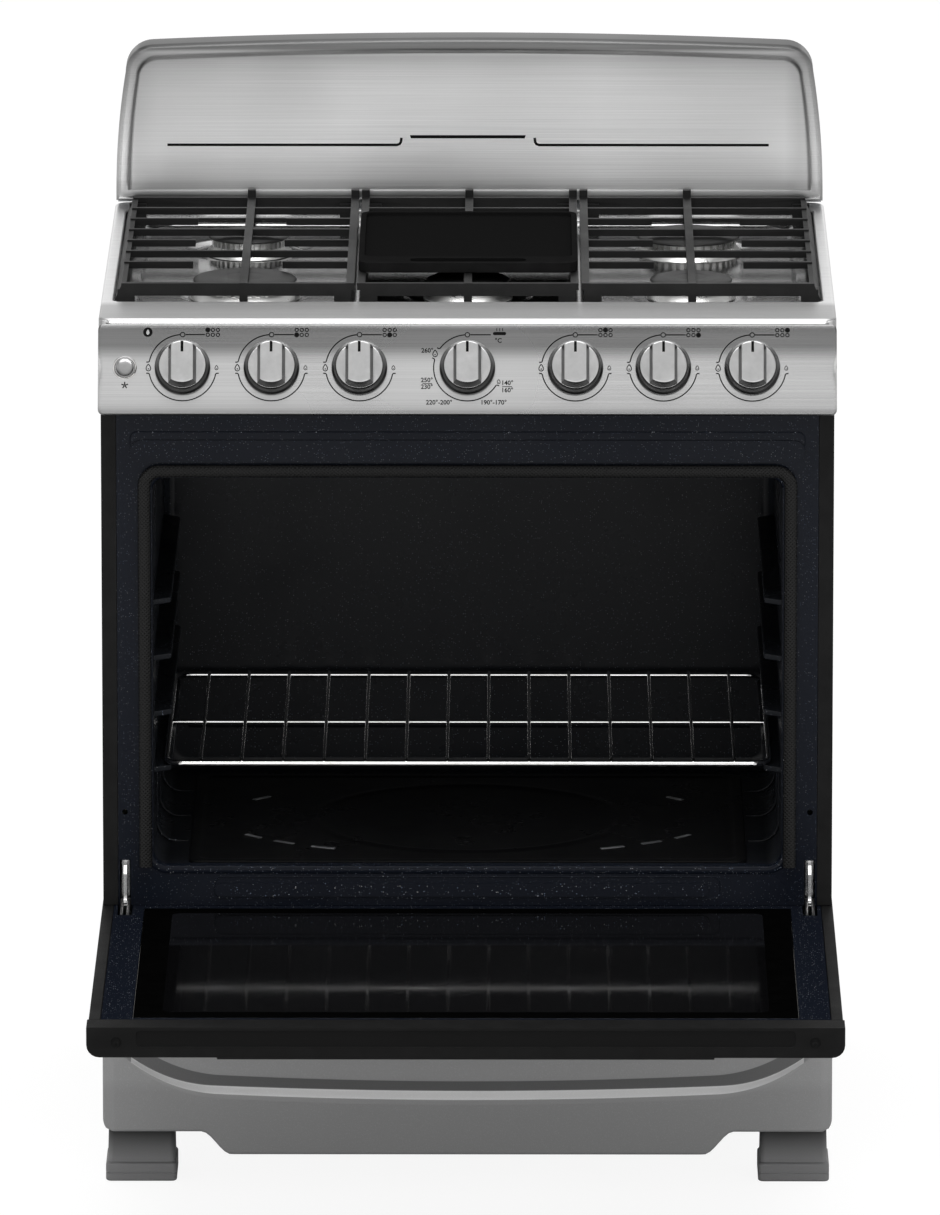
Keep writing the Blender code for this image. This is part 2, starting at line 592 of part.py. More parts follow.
def ignition_button():
    body = lathe("ignition_button", [(0, -0.010), (BUTTON_RADIUS, -0.010), (BUTTON_RADIUS, 0.0030), (BUTTON_RADIUS - 0.0012, 0.0042), (0, 0.0046)], 20, KNOB_METAL)
    return facing(body, BUTTON_X, KNOB_AT)


def gas_manifold():
    """The supply pipe behind the fascia with one valve body and stem for each knob, and its inlet."""
    y, turn = on_panel(KNOB_AT)
    axis = turn @ Vector((0, 0, 1))
    face = Vector((0, y, KNOB_AT))
    back = face - axis * 0.050
    pipe = rod("gas_manifold", (-HALF + 0.03, back.y, back.z), (HALF - 0.03, back.y, back.z), 0.0095, GALVANISED, 12)
    pieces = []
    for index, x in enumerate(KNOBS):
        centre = Vector((x, 0, 0))
        pieces.append(rod(f"gas_valve_{index}", centre + back - axis * 0.006, centre + face - axis * 0.010, 0.0115, CUTTER, 10))
        pieces.append(rod(f"gas_stem_{index}", centre + face - axis * 0.014, centre + face + axis * 0.0112, 0.0040, CUTTER, 10))
    return add(pipe, *pieces)


# ---------------------------------------------------------------- backguard
def back_outline(inset, floor):
    """The backguard seen from the front: sides that lean in, round shoulders and a slightly arched top."""
    def half_at(height):
        run = max(0.0, (height - BACK_BOTTOM) / (BACK_TOP - BACK_BOTTOM))
        return HALF - inset - BACK_TAPER * run**2.2
    top = BACK_TOP - inset
    shoulder = top - BACK_ARCH
    reach = half_at(shoulder) - BACK_CORNER
    right = [(half_at(floor + (shoulder - BACK_CORNER - floor) * step / 6), floor + (shoulder - BACK_CORNER - floor) * step / 6) for step in range(7)]
    start = right[-1][0]
    right += [(start - BACK_CORNER + BACK_CORNER * cos(radians(angle)), shoulder - BACK_CORNER + BACK_CORNER * sin(radians(angle)))
              for angle in (18, 36, 54, 72, 88)]
    edge = right[-1][0]
    right += [(edge * (1 - step / 5), shoulder + BACK_ARCH * (1 - (1 - step / 5) ** 2)) for step in range(1, 5)]
    return right + [(0, top)] + [(-x, z) for x, z in reversed(right)]


def backguard():
    """The raised splash guard: a border round a sunk field, hollow behind, with two vent lines."""
    shell = prism("backguard", back_outline(0, BACK_BOTTOM), (BACK_FRONT, DEPTH - SHEET - GAP), "Y", STEEL)
    soften(shell, 0.004, 1, 60)
    hollow = prism("backguard_hollow", back_outline(0.0035, BACK_BOTTOM + 0.0015), (BACK_FRONT + 0.0040, DEPTH + 0.01), "Y", CUTTER)
    field = prism("backguard_field", back_outline(0.015, BACK_BOTTOM + 0.006), (BACK_FRONT - 0.01, BACK_FRONT + 0.0018), "Y", CUTTER)
    return cut(shell, hollow, field)


def backguard_back():
    """The plate that closes the backguard and carries it on the cooktop."""
    y = (DEPTH - SHEET, DEPTH)
    plate = prism("backguard_back", back_outline(0.001, RIM_TOP + GAP), y, "Y", GALVANISED)
    ledge = box("backguard_ledge", (-HALF + 0.02, HALF - 0.02), (BACK_FRONT + 0.006, DEPTH - SHEET / 2), (RIM_TOP + GAP, RIM_TOP + GAP + 0.0065), CUTTER)
    slots = [
        prism(f"backguard_vent_{index}", rounded((x - 0.05, x + 0.05), (BACK_TOP - 0.070, BACK_TOP - 0.062), 0.0039, 2), (DEPTH - 0.01, DEPTH + 0.01), "Y", CUTTER)
        for index, x in enumerate((-WIDTH * 0.3, 0.0, WIDTH * 0.3))
    ]
    return cut(add(plate, ledge), *slots)


# ---------------------------------------------------------------- oven rack
def oven_rack():
    """A wire rack: a round frame, one cross wire and the long wires laid over them."""
    level, side = RIB_HEIGHTS[0] + 0.0028 + GAP + 0.0030, OPENING_HALF - 0.0125
    front, back = 0.032, OVEN_DEPTH - 0.018
    corner = 0.020
    path = [(x, y, level) for x, y in rounded((-side, side), (front, back), corner, 4)]
    frame = wire("oven_rack", path, 0.0030, CHROME, 2, closed=True)
    pieces = [wire("oven_rack_cross", [(-side, (front + back) / 2 - 0.016, level), (side, (front + back) / 2 - 0.016, level)], 0.0024, CUTTER, 1)]
    count = 14
    pitch = 2 * side / (count + 0.70)
    for index in range(count):
        x = (index - (count - 1) / 2) * pitch
        pieces.append(wire(f"oven_rack_wire_{index}", [(x, front - 0.001, level + 0.0034), (x, back + 0.001, level + 0.0034)], 0.0018, CUTTER, 1))
    rack = add(frame, *pieces)
    return carry(rack, Matrix.Identity(4), (0, (front + back) / 2, level))


# ---------------------------------------------------------------- oven door
def door_pan():
    """The enamelled inner skin, an open tray with a window for the glass and a slot for each hinge."""
    side = DOOR_HALF - TRIM_WIDTH - GAP
    z = (DOOR_BOTTOM, DOOR_TOP - TRIM_HEIGHT - GAP)
    outer = DOOR_OUTER + 0.004 + GAP
    pan = box("door_inner_panel", (-side, side), (outer, DOOR_INNER), z, ENAMEL)
    hollow = box("door_inner_hollow", (-side + SHEET, side - SHEET), (outer - 0.01, DOOR_INNER - SHEET), (z[0] + SHEET, z[1] - SHEET), CUTTER)
    window = box("door_inner_window", (-PANE_HALF - GAP, PANE_HALF + GAP), (DOOR_INNER - 0.006, 0.01), (PANE_LOW - GAP, PANE_HIGH + GAP), CUTTER)
    slots = [
        box(f"door_hinge_slot_{at}", (at * HINGE_X - 0.0075, at * HINGE_X + 0.0075), (DOOR_INNER - 0.022, 0.01), (DOOR_BOTTOM - 0.01, PIVOT_Z + 0.036), CUTTER)
        for at in (-1, 1)
    ]
    return opened(cut(pan, hollow, window, *slots))


def door_inner_glass():
    pane = box("door_inner_glass", (-PANE_HALF, PANE_HALF), (DOOR_INNER - 0.004, DOOR_INNER), (PANE_LOW, PANE_HIGH), GLASS)
    return opened(pane)


def door_outer_glass():
    side = DOOR_HALF - TRIM_WIDTH - GAP
    pane = box("door_outer_glass", (-side, side), (DOOR_OUTER, DOOR_OUTER + 0.004), (DOOR_BOTTOM, DOOR_TOP - TRIM_HEIGHT - GAP), GLASS)
    return opened(soften(pane, 0.0008, 1))


def side_trim(side, name):
    """A black edge strip with a round outer corner."""
    inner, outer = DOOR_HALF - TRIM_WIDTH, DOOR_HALF
    outline = [(inner, DOOR_INNER), (outer, DOOR_INNER)] + arc((outer - 0.011, DOOR_OUTER + 0.011), 0.011, 0, -90, 4) + [(inner, DOOR_OUTER)]
    return opened(prism(name, [(side * x, y) for x, y in outline], (DOOR_BOTTOM, DOOR_TOP - TRIM_HEIGHT - GAP), "Z", BLACK_PLASTIC))


def top_trim():
    """The cap along the door's top edge, hollow below, with a finger lip on its outer side."""
    half = DOOR_HALF + 0.0015
    z = (DOOR_TOP - TRIM_HEIGHT, DOOR_TOP)
    outline = [(-half, DOOR_INNER), (half, DOOR_INNER)] + arc((half - 0.013, DOOR_OUTER + 0.013), 0.013, 0, -90, 5)
    outline += arc((-half + 0.013, DOOR_OUTER + 0.013), 0.013, -90, -180, 5)
    cap = prism("door_top_trim", outline, z, "Z", BLACK_PLASTIC)
    groove = prism("door_trim_recess", rounded((-half + 0.050, half - 0.050), (DOOR_INNER - 0.0200, DOOR_INNER - 0.0035), 0.004), (z[1] - 0.0012, z[1] + 0.01), "Z", CUTTER)
    under = box("door_trim_under", (-half + 0.030, half - 0.030), (DOOR_OUTER + 0.004, DOOR_INNER - 0.003), (z[0] - 0.01, z[1] - 0.006), CUTTER)
    lip = [(DOOR_OUTER + 0.002, z[1]), (DOOR_OUTER + 0.002, z[1] - 0.006), (DOOR_OUTER - 0.012, z[1] - 0.020), (DOOR_OUTER - 0.014, z[1] - 0.016), (DOOR_OUTER - 0.010, z[1] - 0.006)]
    grip = prism("door_trim_grip", lip, (-WIDTH * 0.33, WIDTH * 0.33), "X", CUTTER)
    screws = []
    for at in (-1, 1):
        dish = lathe(f"door_trim_screw_{at}", [(0, -0.0014), (0.0042, -0.0014), (0.0056, 0.0001), (0.0056, 0.003), (0, 0.003)], 20, CUTTER)
        dish.data.transform(Matrix.Translation((at * (half - 0.030), (DOOR_INNER + DOOR_OUTER) / 2, z[1])))
        screws.append(dish)
    return opened(add(cut(cap, groove, under, *screws), grip))


def hinge_receiver(side, name):
    """The fixed half: a channel behind the frame and an arm through its slot, ending in the knuckle."""
    x = side * HINGE_X
    thin = 0.0016
    channel = box(name, (x - 0.0040, x + 0.0040), (0.0135, 0.075), (PIVOT_Z + 0.002, PIVOT_Z + 0.0425), STEEL_DARK)
    hollow = box(name + "_hollow", (x - 0.0028, x + 0.0028), (0.0147, 0.080), (PIVOT_Z + 0.0035, PIVOT_Z + 0.041), CUTTER)
    arm = prism(name + "_arm", [(PIVOT_Y - 0.0035, PIVOT_Z - 0.002), (PIVOT_Y + 0.004, PIVOT_Z - 0.0035), (0.020, PIVOT_Z + 0.004), (0.020, PIVOT_Z + 0.038),
                                (0.000, PIVOT_Z + 0.038), (-0.0065, PIVOT_Z + 0.030), (-0.0072, PIVOT_Z + 0.008)], (x - thin, x + thin), "X", CUTTER)
    knuckle = rod(name + "_knuckle", (x - thin, PIVOT_Y, PIVOT_Z), (x + thin, PIVOT_Y, PIVOT_Z), 0.0046, CUTTER, 20)
    bore = rod(name + "_bore", (x - 0.01, PIVOT_Y, PIVOT_Z), (x + 0.01, PIVOT_Y, PIVOT_Z), 0.0022, CUTTER, 20)
    return cut(add(cut(channel, hollow), arm, knuckle), bore)


def hinge_leaf(side, name):
    """The door half: two cheeks on a foot inside the door, joined by the pin through the knuckle."""
    x = side * HINGE_X
    inner, outer = 0.0016 + GAP, 0.0046
    foot_y = (DOOR_OUTER + 0.0044 + GAP, DOOR_INNER - 0.017)
    leaf = box(name, (x - outer, x + outer), foot_y, (DOOR_BOTTOM + 0.0012, PIVOT_Z + 0.060), STEEL_DARK)
    pieces = []
    for index, reach in enumerate(((-outer, -inner), (inner, outer))):
        cheek = [(foot_y[1] - 0.001, PIVOT_Z - 0.012), (PIVOT_Y + 0.0030, PIVOT_Z - 0.0034), (PIVOT_Y + 0.0042, PIVOT_Z),
                 (PIVOT_Y + 0.0030, PIVOT_Z + 0.0034), (DOOR_INNER - 0.002, PIVOT_Z + 0.030), (foot_y[1] - 0.001, PIVOT_Z + 0.034)]
        pieces.append(prism(f"{name}_cheek_{index}", cheek, (x + reach[0], x + reach[1]), "X", CUTTER))
    pieces.append(rod(name + "_pin", (x - outer, PIVOT_Y, PIVOT_Z), (x + outer, PIVOT_Y, PIVOT_Z), 0.0018, CUTTER, 20))
    return opened(add(leaf, *pieces))


# ---------------------------------------------------------------- drawer
def drawer_outline():
    """The drawer front seen from the front: square above, cut up at the feet, a skirt between them."""
    corner, high, low = BODY_BOTTOM + 0.0035, HALF * 0.732, HALF * 0.65
    right = [(DOOR_HALF, DRAWER_TOP), (DOOR_HALF, corner + 0.010)]
    right += arc((DOOR_HALF - 0.010, corner + 0.010), 0.010, 0, -90, 4)
    for step in range(9):
        share = step / 8
        right.append((high + (low - high) * share, corner + (DRAWER_SKIRT - corner) * (3 - 2 * share) * share**2))
    return right + [(-x, z) for x, z in reversed(right)]


def drawer_front():
    """The pressed front: its ends wrap back to the side panels, and a bowed channel crosses it."""
    front = prism("drawer_front", drawer_outline(), (DRAWER_FACE, POCKET_DEPTH - 0.0006), "Y", GREY_PAINT)
    hollow = box("drawer_front_hollow", (-DOOR_HALF + 0.0012, DOOR_HALF - 0.0012), (DRAWER_FACE + 0.0042, POCKET_DEPTH + 0.01), (-0.01, DRAWER_TOP - 0.0012), CUTTER)
    lip = box("drawer_front_lip", (-DOOR_HALF + 0.0012, DOOR_HALF - 0.0012), (DRAWER_FACE + 0.020, POCKET_DEPTH + 0.01), (DRAWER_TOP - 0.01, DRAWER_TOP + 0.01), CUTTER)
    upper, lower = [], []
    steps = 24
    reach = HALF * 0.945
    for index in range(steps + 1):
        x = reach * (2 * index / steps - 1)
        run = abs(x) / reach
        dip = GROOVE_Z + 0.0035 * run**2 + 0.027 * max(0.0, (run - 0.78) / 0.22) ** 1.6
        half = 0.0092 - 0.0050 * max(0.0, (run - 0.85) / 0.15)
        upper.append((x, dip + half))
        lower.append((x, dip - half))
    groove = prism("drawer_front_groove", upper + lower[::-1], (DRAWER_FACE - 0.01, DRAWER_FACE + 0.0026), "Y", CUTTER)
    cut(front, hollow, lip, groove)
    return carry(front, Matrix.Identity(4), (0, DRAWER_FACE, DRAWER_TOP))


def drawer_box():
    """The drawer itself, an open tray behind the front with an edge turned out on each side."""
    half, y, z = HALF - 0.048, (DRAWER_FACE + 0.0042 + GAP, DRAWER_DEPTH), (BODY_BOTTOM + 0.024, DRAWER_RAIL)
    tray = box("drawer_box", (-half, half), y, z, GALVANISED)
    wings = box("drawer_box_wings", (-half - 0.012, half + 0.012), (POCKET_DEPTH + 0.004, y[1]), (z[1] - SHEET, z[1]), CUTTER)
    well = box("drawer_box_well", (-half + SHEET, half - SHEET), (y[0] + SHEET, y[1] - SHEET), (z[0] + SHEET, z[1] + 0.01), CUTTER)
    return carry(cut(add(tray, wings), well), Matrix.Identity(4), (0, DRAWER_FACE, DRAWER_TOP))


def drawer_runner(side, name):
    """The channel on the side panel that the drawer's turned-out edge slides in."""
    outer, top = HALF - SHEET - GAP, DRAWER_RAIL
    reach = HALF - 0.048 + 0.004
    outline = [(outer, top - 0.030), (outer, top + 0.008), (reach, top + 0.008), (reach, top + 0.008 - SHEET), (outer - SHEET, top + 0.008 - SHEET),
               (outer - SHEET, top - SHEET - GAP), (reach, top - SHEET - GAP), (reach, top - 2 * SHEET - GAP), (outer - SHEET, top - 2 * SHEET - GAP), (outer - SHEET, top - 0.030)]
    return prism(name, [(side * x, z) for x, z in outline], (POCKET_DEPTH + 0.002, DRAWER_DEPTH + 0.06), "Y", GALVANISED)


# ---------------------------------------------------------------- the whole range
KNOBS = [WIDTH * step for step in (-0.3872, -0.2663, -0.1467, 0, 0.1467, 0.2663, 0.3872)]
KNOB_NAMES = ("knob_rear_left", "knob_front_left", "knob_front_center", "knob_oven", "knob_rear_center", "knob_front_right", "knob_rear_right")
BUTTON_X = KNOBS[0] - WIDTH * 0.0785
BURNERS = (
    ("rear", "left", -BURNER_X, REAR_ROW, 0.040), ("front", "left", -BURNER_X, FRONT_ROW, 0.051),
    ("rear", "center", 0.0, REAR_ROW, 0.040), ("front", "center", 0.0, FRONT_ROW, 0.040),
    ("rear", "right", BURNER_X, REAR_ROW, 0.051), ("front", "right", BURNER_X, FRONT_ROW, 0.040),
)

clear_scene()
PARTS = collection("parts")
CUTTERS = collection("cutters")
CUTTERS.hide_render = True

STEEL = material("brushed_steel", (0.62, 0.62, 0.61), 0.32, 1.0)
STEEL_DARK = material("hinge_steel", (0.45, 0.45, 0.44), 0.40, 1.0)
BLACK_STEEL = material("black_painted_steel", (0.03, 0.03, 0.03), 0.45)
GALVANISED = material("galvanised_steel", (0.55, 0.56, 0.57), 0.50, 0.9)
ENAMEL = material("speckled_enamel", (0.02, 0.022, 0.035), 0.25)
BLACK_ENAMEL = material("black_enamel", (0.015, 0.015, 0.016), 0.30)
PLASTIC_GREY = material("grey_plastic", (0.16, 0.16, 0.165), 0.55)
BLACK_PLASTIC = material("black_plastic", (0.012, 0.012, 0.012), 0.45)
RUBBER = material("woven_seal", (0.04, 0.04, 0.04), 0.9)
WOOL = material("mineral_wool", (0.62, 0.58, 0.45), 0.95)
ALUMINIUM = material("burner_aluminium", (0.66, 0.66, 0.65), 0.42, 1.0)
CAST_IRON = material("cast_iron_enamel", (0.014, 0.014, 0.014), 0.55)
KNOB_METAL = material("knob_metal", (0.58, 0.58, 0.57), 0.35, 1.0)
CHROME = material("chrome_wire", (0.75, 0.75, 0.75), 0.18, 1.0)
GLASS = material("dark_glass", (0.01, 0.01, 0.012), 0.08)
GREY_PAINT = material("grey_paint", (0.16, 0.16, 0.16), 0.45)
CUTTER = material("cutter", (0.8, 0.2, 0.2), 0.5)

side_panel(-1, "side_panel_left")
side_panel(1, "side_panel_right")
rear_panel()
base_frame()
for end, y in (("front", -0.010), ("rear", DEPTH - 0.004)):
    foot(-1, f"foot_{end}_left", y)
    foot(1, f"foot_{end}_right", y)
front_frame()
oven_liner()
oven_floor()
oven_burner()
oven_gasket()
oven_insulation()

cooktop()
for place in BURNERS:
    burner(*place)
grate("grate_left", (-GRATE_OUTER, -CENTRE_HALF - 0.0027), -1)
grate("grate_center", (-CENTRE_HALF, CENTRE_HALF), 0)
grate("grate_right", (CENTRE_HALF + 0.0027, GRATE_OUTER), 1)
griddle()

control_panel()
for label, x in zip(KNOB_NAMES, KNOBS):
    knob(label, x)
ignition_button()
gas_manifold()

backguard()
backguard_back()

oven_rack()

door_pan()
door_inner_glass()
door_outer_glass()
side_trim(-1, "door_side_trim_left")
side_trim(1, "door_side_trim_right")
top_trim()
hinge_receiver(-1, "hinge_receiver_left")
hinge_receiver(1, "hinge_receiver_right")
hinge_leaf(-1, "hinge_leaf_left")
hinge_leaf(1, "hinge_leaf_right")

drawer_front()
drawer_box()
drawer_runner(-1, "drawer_runner_left")
drawer_runner(1, "drawer_runner_right")

for obj in list(PARTS.objects) + list(CUTTERS.all_objects):
    obj.location.y -= MIDDLE_Y
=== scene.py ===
# %% [markdown]
# # The looks of a freestanding gas range
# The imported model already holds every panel, hinge, knob and grate at its true size, as plain faceted
# solids. This lesson dresses it. Pressed steel gets rolled edges, enamel gets its specks, castings get soft
# corners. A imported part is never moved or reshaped. Where its shape is right it only gets a finish, and
# where the real part is softer or finer a new piece is made, rides on the same moving body and stands in
# for it.

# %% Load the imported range
import json
from math import cos, pi, radians, sin, sqrt

import bmesh
import bpy
from mathutils import Matrix, Vector

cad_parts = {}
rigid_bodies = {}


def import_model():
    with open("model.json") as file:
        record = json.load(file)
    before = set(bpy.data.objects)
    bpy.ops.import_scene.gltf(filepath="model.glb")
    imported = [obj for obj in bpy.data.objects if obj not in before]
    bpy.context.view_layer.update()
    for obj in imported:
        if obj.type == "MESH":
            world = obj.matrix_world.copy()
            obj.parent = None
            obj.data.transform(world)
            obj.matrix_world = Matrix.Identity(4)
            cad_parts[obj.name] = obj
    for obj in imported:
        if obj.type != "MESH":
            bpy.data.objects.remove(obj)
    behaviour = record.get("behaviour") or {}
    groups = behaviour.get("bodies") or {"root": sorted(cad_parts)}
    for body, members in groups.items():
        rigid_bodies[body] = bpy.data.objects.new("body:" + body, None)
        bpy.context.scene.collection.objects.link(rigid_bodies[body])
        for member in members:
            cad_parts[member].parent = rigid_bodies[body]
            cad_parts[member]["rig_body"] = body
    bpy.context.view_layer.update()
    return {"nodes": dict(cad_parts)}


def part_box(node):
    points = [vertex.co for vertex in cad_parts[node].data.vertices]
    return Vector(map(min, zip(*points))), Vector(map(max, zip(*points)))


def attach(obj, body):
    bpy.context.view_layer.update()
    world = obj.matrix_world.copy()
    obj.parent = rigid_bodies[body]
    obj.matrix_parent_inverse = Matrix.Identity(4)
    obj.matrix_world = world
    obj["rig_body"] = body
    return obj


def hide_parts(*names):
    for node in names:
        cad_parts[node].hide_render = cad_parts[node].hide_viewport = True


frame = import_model()
print("parts in the frame:", len(frame["nodes"]))

# %% [markdown]
# ## Helpers for shapes
# Nearly everything on a range is sheet metal, and a pressed sheet is a row of outlines, each a little
# further in or up than the one before. So the main tool is a loft, which skins a list of rings that have
# the same number of points. A turned part is the same thing with circles for rings. Bars, wires and
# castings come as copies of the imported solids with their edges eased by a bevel.

# %% Rings, lofts and turned shapes
def arc(centre, radius, start, end, steps):
    """Points on an arc, with angles in degrees."""
    turns = [radians(start + (end - start) * step / steps) for step in range(steps + 1)]
    return [(centre[0] + radius * cos(turn), centre[1] + radius * sin(turn)) for turn in turns]


def rounded(x, y, radius, steps=6):
    """A rectangle's outline with round corners, always with the same number of points."""
    radius = max(radius, 0.00005)
    outline = arc((x[1] - radius, y[1] - radius), radius, 0, 90, steps)
    outline += arc((x[0] + radius, y[1] - radius), radius, 90, 180, steps)
    outline += arc((x[0] + radius, y[0] + radius), radius, 180, 270, steps)
    return outline + arc((x[1] - radius, y[0] + radius), radius, 270, 360, steps)


def loft(rings, caps=(True, True), closed=True):
    """Skins rings of points, and closes the first and the last one if asked."""
    mesh = bmesh.new()
    rows = [[mesh.verts.new(point) for point in ring] for ring in rings]
    count = len(rows[0])
    for row, following in zip(rows, rows[1:]):
        for index in range(count if closed else count - 1):
            after = (index + 1) % count
            mesh.faces.new((row[index], row[after], following[after], following[index]))
    if caps[0]:
        mesh.faces.new(rows[0])
    if caps[1]:
        mesh.faces.new(rows[-1])
    return mesh


def turned(profile, steps=64, place=Matrix.Identity(4)):
    """A (radius, height) profile turned about the local Z axis; both ends are closed with a flat face."""
    rings = []
    for radius, height in profile:
        rings.append(
            [place @ Vector((radius * x, radius * y, height)) for x, y in arc((0, 0), 1, 0, 360, steps)[:-1]]
        )
    return loft(rings)


def slab(outline, span, place=Matrix.Identity(4), ease=0.0):
    """A flat outline given a thickness along the local Z axis, with its upper edge eased."""
    middle = Vector((sum(p[0] for p in outline), sum(p[1] for p in outline))) / len(outline)
    rings = [[place @ Vector((a, b, span[0])) for a, b in outline]]
    for share in ((1.0, 0.62, 0.29, 0.0) if ease else (0.0,)):
        inset = ease * (1 - sqrt(1 - (1 - share) ** 2))
        ring = []
        for a, b in outline:
            out = Vector((a, b)) - middle
            ring.append(
                place @ Vector(
                    (a, b, span[1] - ease * share)
                ) - place.to_3x3() @ Vector((*out.normalized(), 0)) * inset
            )
        rings.append(ring)
    return loft(rings)


print("shape helpers are ready")

# %% [markdown]
# A piece isn't part of the range until it has a finish, a place among the moving bodies and, where it
# stands for a imported solid, that solid hidden. One function does all of that, so no step is forgotten.
# The weighted normals keep large flat faces flat while the small rounded edges between them catch the
# light.

# %% From a mesh to a finished piece
def body_of(node):
    return frame["nodes"][node]["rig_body"]


def baked(piece):
    """Writes the modifiers into the mesh."""
    bpy.context.view_layer.update()
    graph = bpy.context.evaluated_depsgraph_get()
    done = bpy.data.meshes.new_from_object(piece.evaluated_get(graph))
    piece.modifiers.clear()
    piece.data = done
    return piece


def as_object(mesh, name):
    """Puts an edited mesh into the scene with its faces pointing out."""
    bmesh.ops.recalc_face_normals(mesh, faces=mesh.faces)
    data = bpy.data.meshes.new(name)
    mesh.to_mesh(data)
    mesh.free()
    piece = bpy.data.objects.new(name, data)
    bpy.context.scene.collection.objects.link(piece)
    return piece


def eased(piece, width, segments=2, angle=30):
    """Rounds every edge that is sharper than the angle."""
    bevel = piece.modifiers.new("Eased edges", "BEVEL")
    bevel.width = width
    bevel.segments = segments
    bevel.limit_method = "ANGLE"
    bevel.angle_limit = radians(angle)
    bevel.use_clamp_overlap = True
    return baked(piece)


def smoothed(piece, angle=40):
    """Smooth shading, broken only at edges sharper than the angle, with normals weighted by face area."""
    piece.data.shade_smooth()
    piece.data.set_sharp_from_angle(angle=radians(angle))
    weighted = piece.modifiers.new("Flat faces stay flat", "WEIGHTED_NORMAL")
    weighted.keep_sharp = True
    return baked(piece)


def finished(piece, finish, body, nodes=(), angle=40):
    """Gives a piece its finish and its body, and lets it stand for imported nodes."""
    smoothed(piece, angle)
    piece.data.materials.clear()
    piece.data.materials.append(finish)
    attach(piece, body)
    if nodes:
        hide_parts(*nodes)
    return piece


def copied(node, name):
    """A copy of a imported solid, with its triangles merged back into whole faces."""
    mesh = bmesh.new()
    mesh.from_mesh(frame["nodes"][node].data)
    bmesh.ops.remove_doubles(mesh, verts=mesh.verts, dist=0.00002)
    bmesh.ops.dissolve_limit(mesh, angle_limit=radians(0.5), verts=mesh.verts, edges=mesh.edges)
    return as_object(mesh, name)


def refined(node, finish, width=0.0008, segments=2, angle=30):
    """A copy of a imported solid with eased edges, which stands for it."""
    piece = copied(node, node + "_formed")
    eased(piece, width, segments, angle)
    return finished(piece, finish, body_of(node), [node])


def carved(piece, tools, operation="DIFFERENCE"):
    """One exact Boolean with all the tools, which are then thrown away."""
    group = bpy.data.collections.new(piece.name + "_tools")
    for tool in tools:
        bpy.context.scene.collection.objects.unlink(tool)
        group.objects.link(tool)
    change = piece.modifiers.new("Carve", "BOOLEAN")
    change.operand_type = "COLLECTION"
    change.collection = group
    change.operation = operation
    change.solver = "EXACT"
    bpy.context.scene.collection.children.link(group)
    baked(piece)
    for tool in tools:
        bpy.data.objects.remove(tool, do_unlink=True)
    bpy.data.collections.remove(group)
    return piece


def joined(pieces, name):
    """Several meshes as one object."""
    mesh = bmesh.new()
    for piece in pieces:
        mesh.from_mesh(piece.data)
        bpy.data.objects.remove(piece, do_unlink=True)
    data = bpy.data.meshes.new(name)
    mesh.to_mesh(data)
    mesh.free()
    made = bpy.data.objects.new(name, data)
    bpy.context.scene.collection.objects.link(made)
    return made


print("piece helpers are ready")

# %% [markdown]
# ## Effects that several finishes share
# Real sheet metal is never one even tone. Four effects return in many finishes, so each is a shader node
# group with its own dials: long grain from the brushing belt, white specks in enamel, the faint orange peel
# and smudges of any coated surface, and edges that have been rubbed a little brighter. Each group puts out
# only masks and heights. The Principled shader stays in the material, where its constants are set.

# %% Placing shader nodes
def add_node(tree, kind, inputs=None, **settings):
    """One shader node, with its settings, values and links."""
    node = tree.nodes.new("ShaderNode" + kind)
    for key, value in settings.items():
        setattr(node, key, value)
    for key, value in (inputs or {}).items():
        if isinstance(value, bpy.types.NodeSocket):
            tree.links.new(value, node.inputs[key])
        else:
            node.inputs[key].default_value = value
    return node


def new_effect(name, dials, results):
    """An empty node group with named value inputs and outputs, and its two end nodes."""
    tree = bpy.data.node_groups.new(name, "ShaderNodeTree")
    for label, value in dials.items():
        socket = tree.interface.new_socket(name=label, in_out="INPUT", socket_type="NodeSocketFloat")
        socket.default_value = value
    for label in results:
        tree.interface.new_socket(name=label, in_out="OUTPUT", socket_type="NodeSocketFloat")
    return tree, tree.nodes.new("NodeGroupInput"), tree.nodes.new("NodeGroupOutput")


def calc(tree, operation, first, second=0.0, third=0.0):
    return add_node(tree, "Math", {0: first, 1: second, 2: third}, operation=operation).outputs[0]


def ramp(tree, value, low, high, start=0.0, end=1.0):
    """A value mapped to another range and held there."""
    inputs = {"Value": value, "From Min": low, "From Max": high, "To Min": start, "To Max": end}
    return add_node(tree, "MapRange", inputs).outputs["Result"]


print("node helpers are ready")

# %% [markdown]
# A brushing belt leaves fine lines that run across the sheet. They are noise stretched a long way along X,
# with the amount of stretch and the fineness as dials. A second, slow noise gives the broad clouds that a
# long sheet shows when light slides over it.

# %% Long grain
def make_long_grain():
    dials = {"Along": 3.0, "Across": 900.0, "Cloud Size": 4.0}
    tree, start, end = new_effect("long grain", dials, ("Lines", "Cloud"))
    place = add_node(tree, "TexCoord").outputs["Object"]
    stretch = add_node(
        tree, "CombineXYZ",
        {"X": start.outputs["Along"], "Y": start.outputs["Across"], "Z": start.outputs["Across"]}
    )
    drawn = add_node(tree, "VectorMath", {0: place, 1: stretch.outputs[0]}, operation="MULTIPLY")
    lines = add_node(
        tree, "TexNoise", {"Vector": drawn.outputs[0], "Scale": 1.0, "Detail": 3.0, "Roughness": 0.65}
    )
    cloud = add_node(tree, "TexNoise", {"Vector": place, "Scale": start.outputs["Cloud Size"], "Detail": 2.0})
    tree.links.new(lines.outputs["Fac"], end.inputs["Lines"])
    tree.links.new(cloud.outputs["Fac"], end.inputs["Cloud"])
    return tree


LONG_GRAIN = make_long_grain()
print("long grain:", [socket.name for socket in LONG_GRAIN.interface.items_tree])

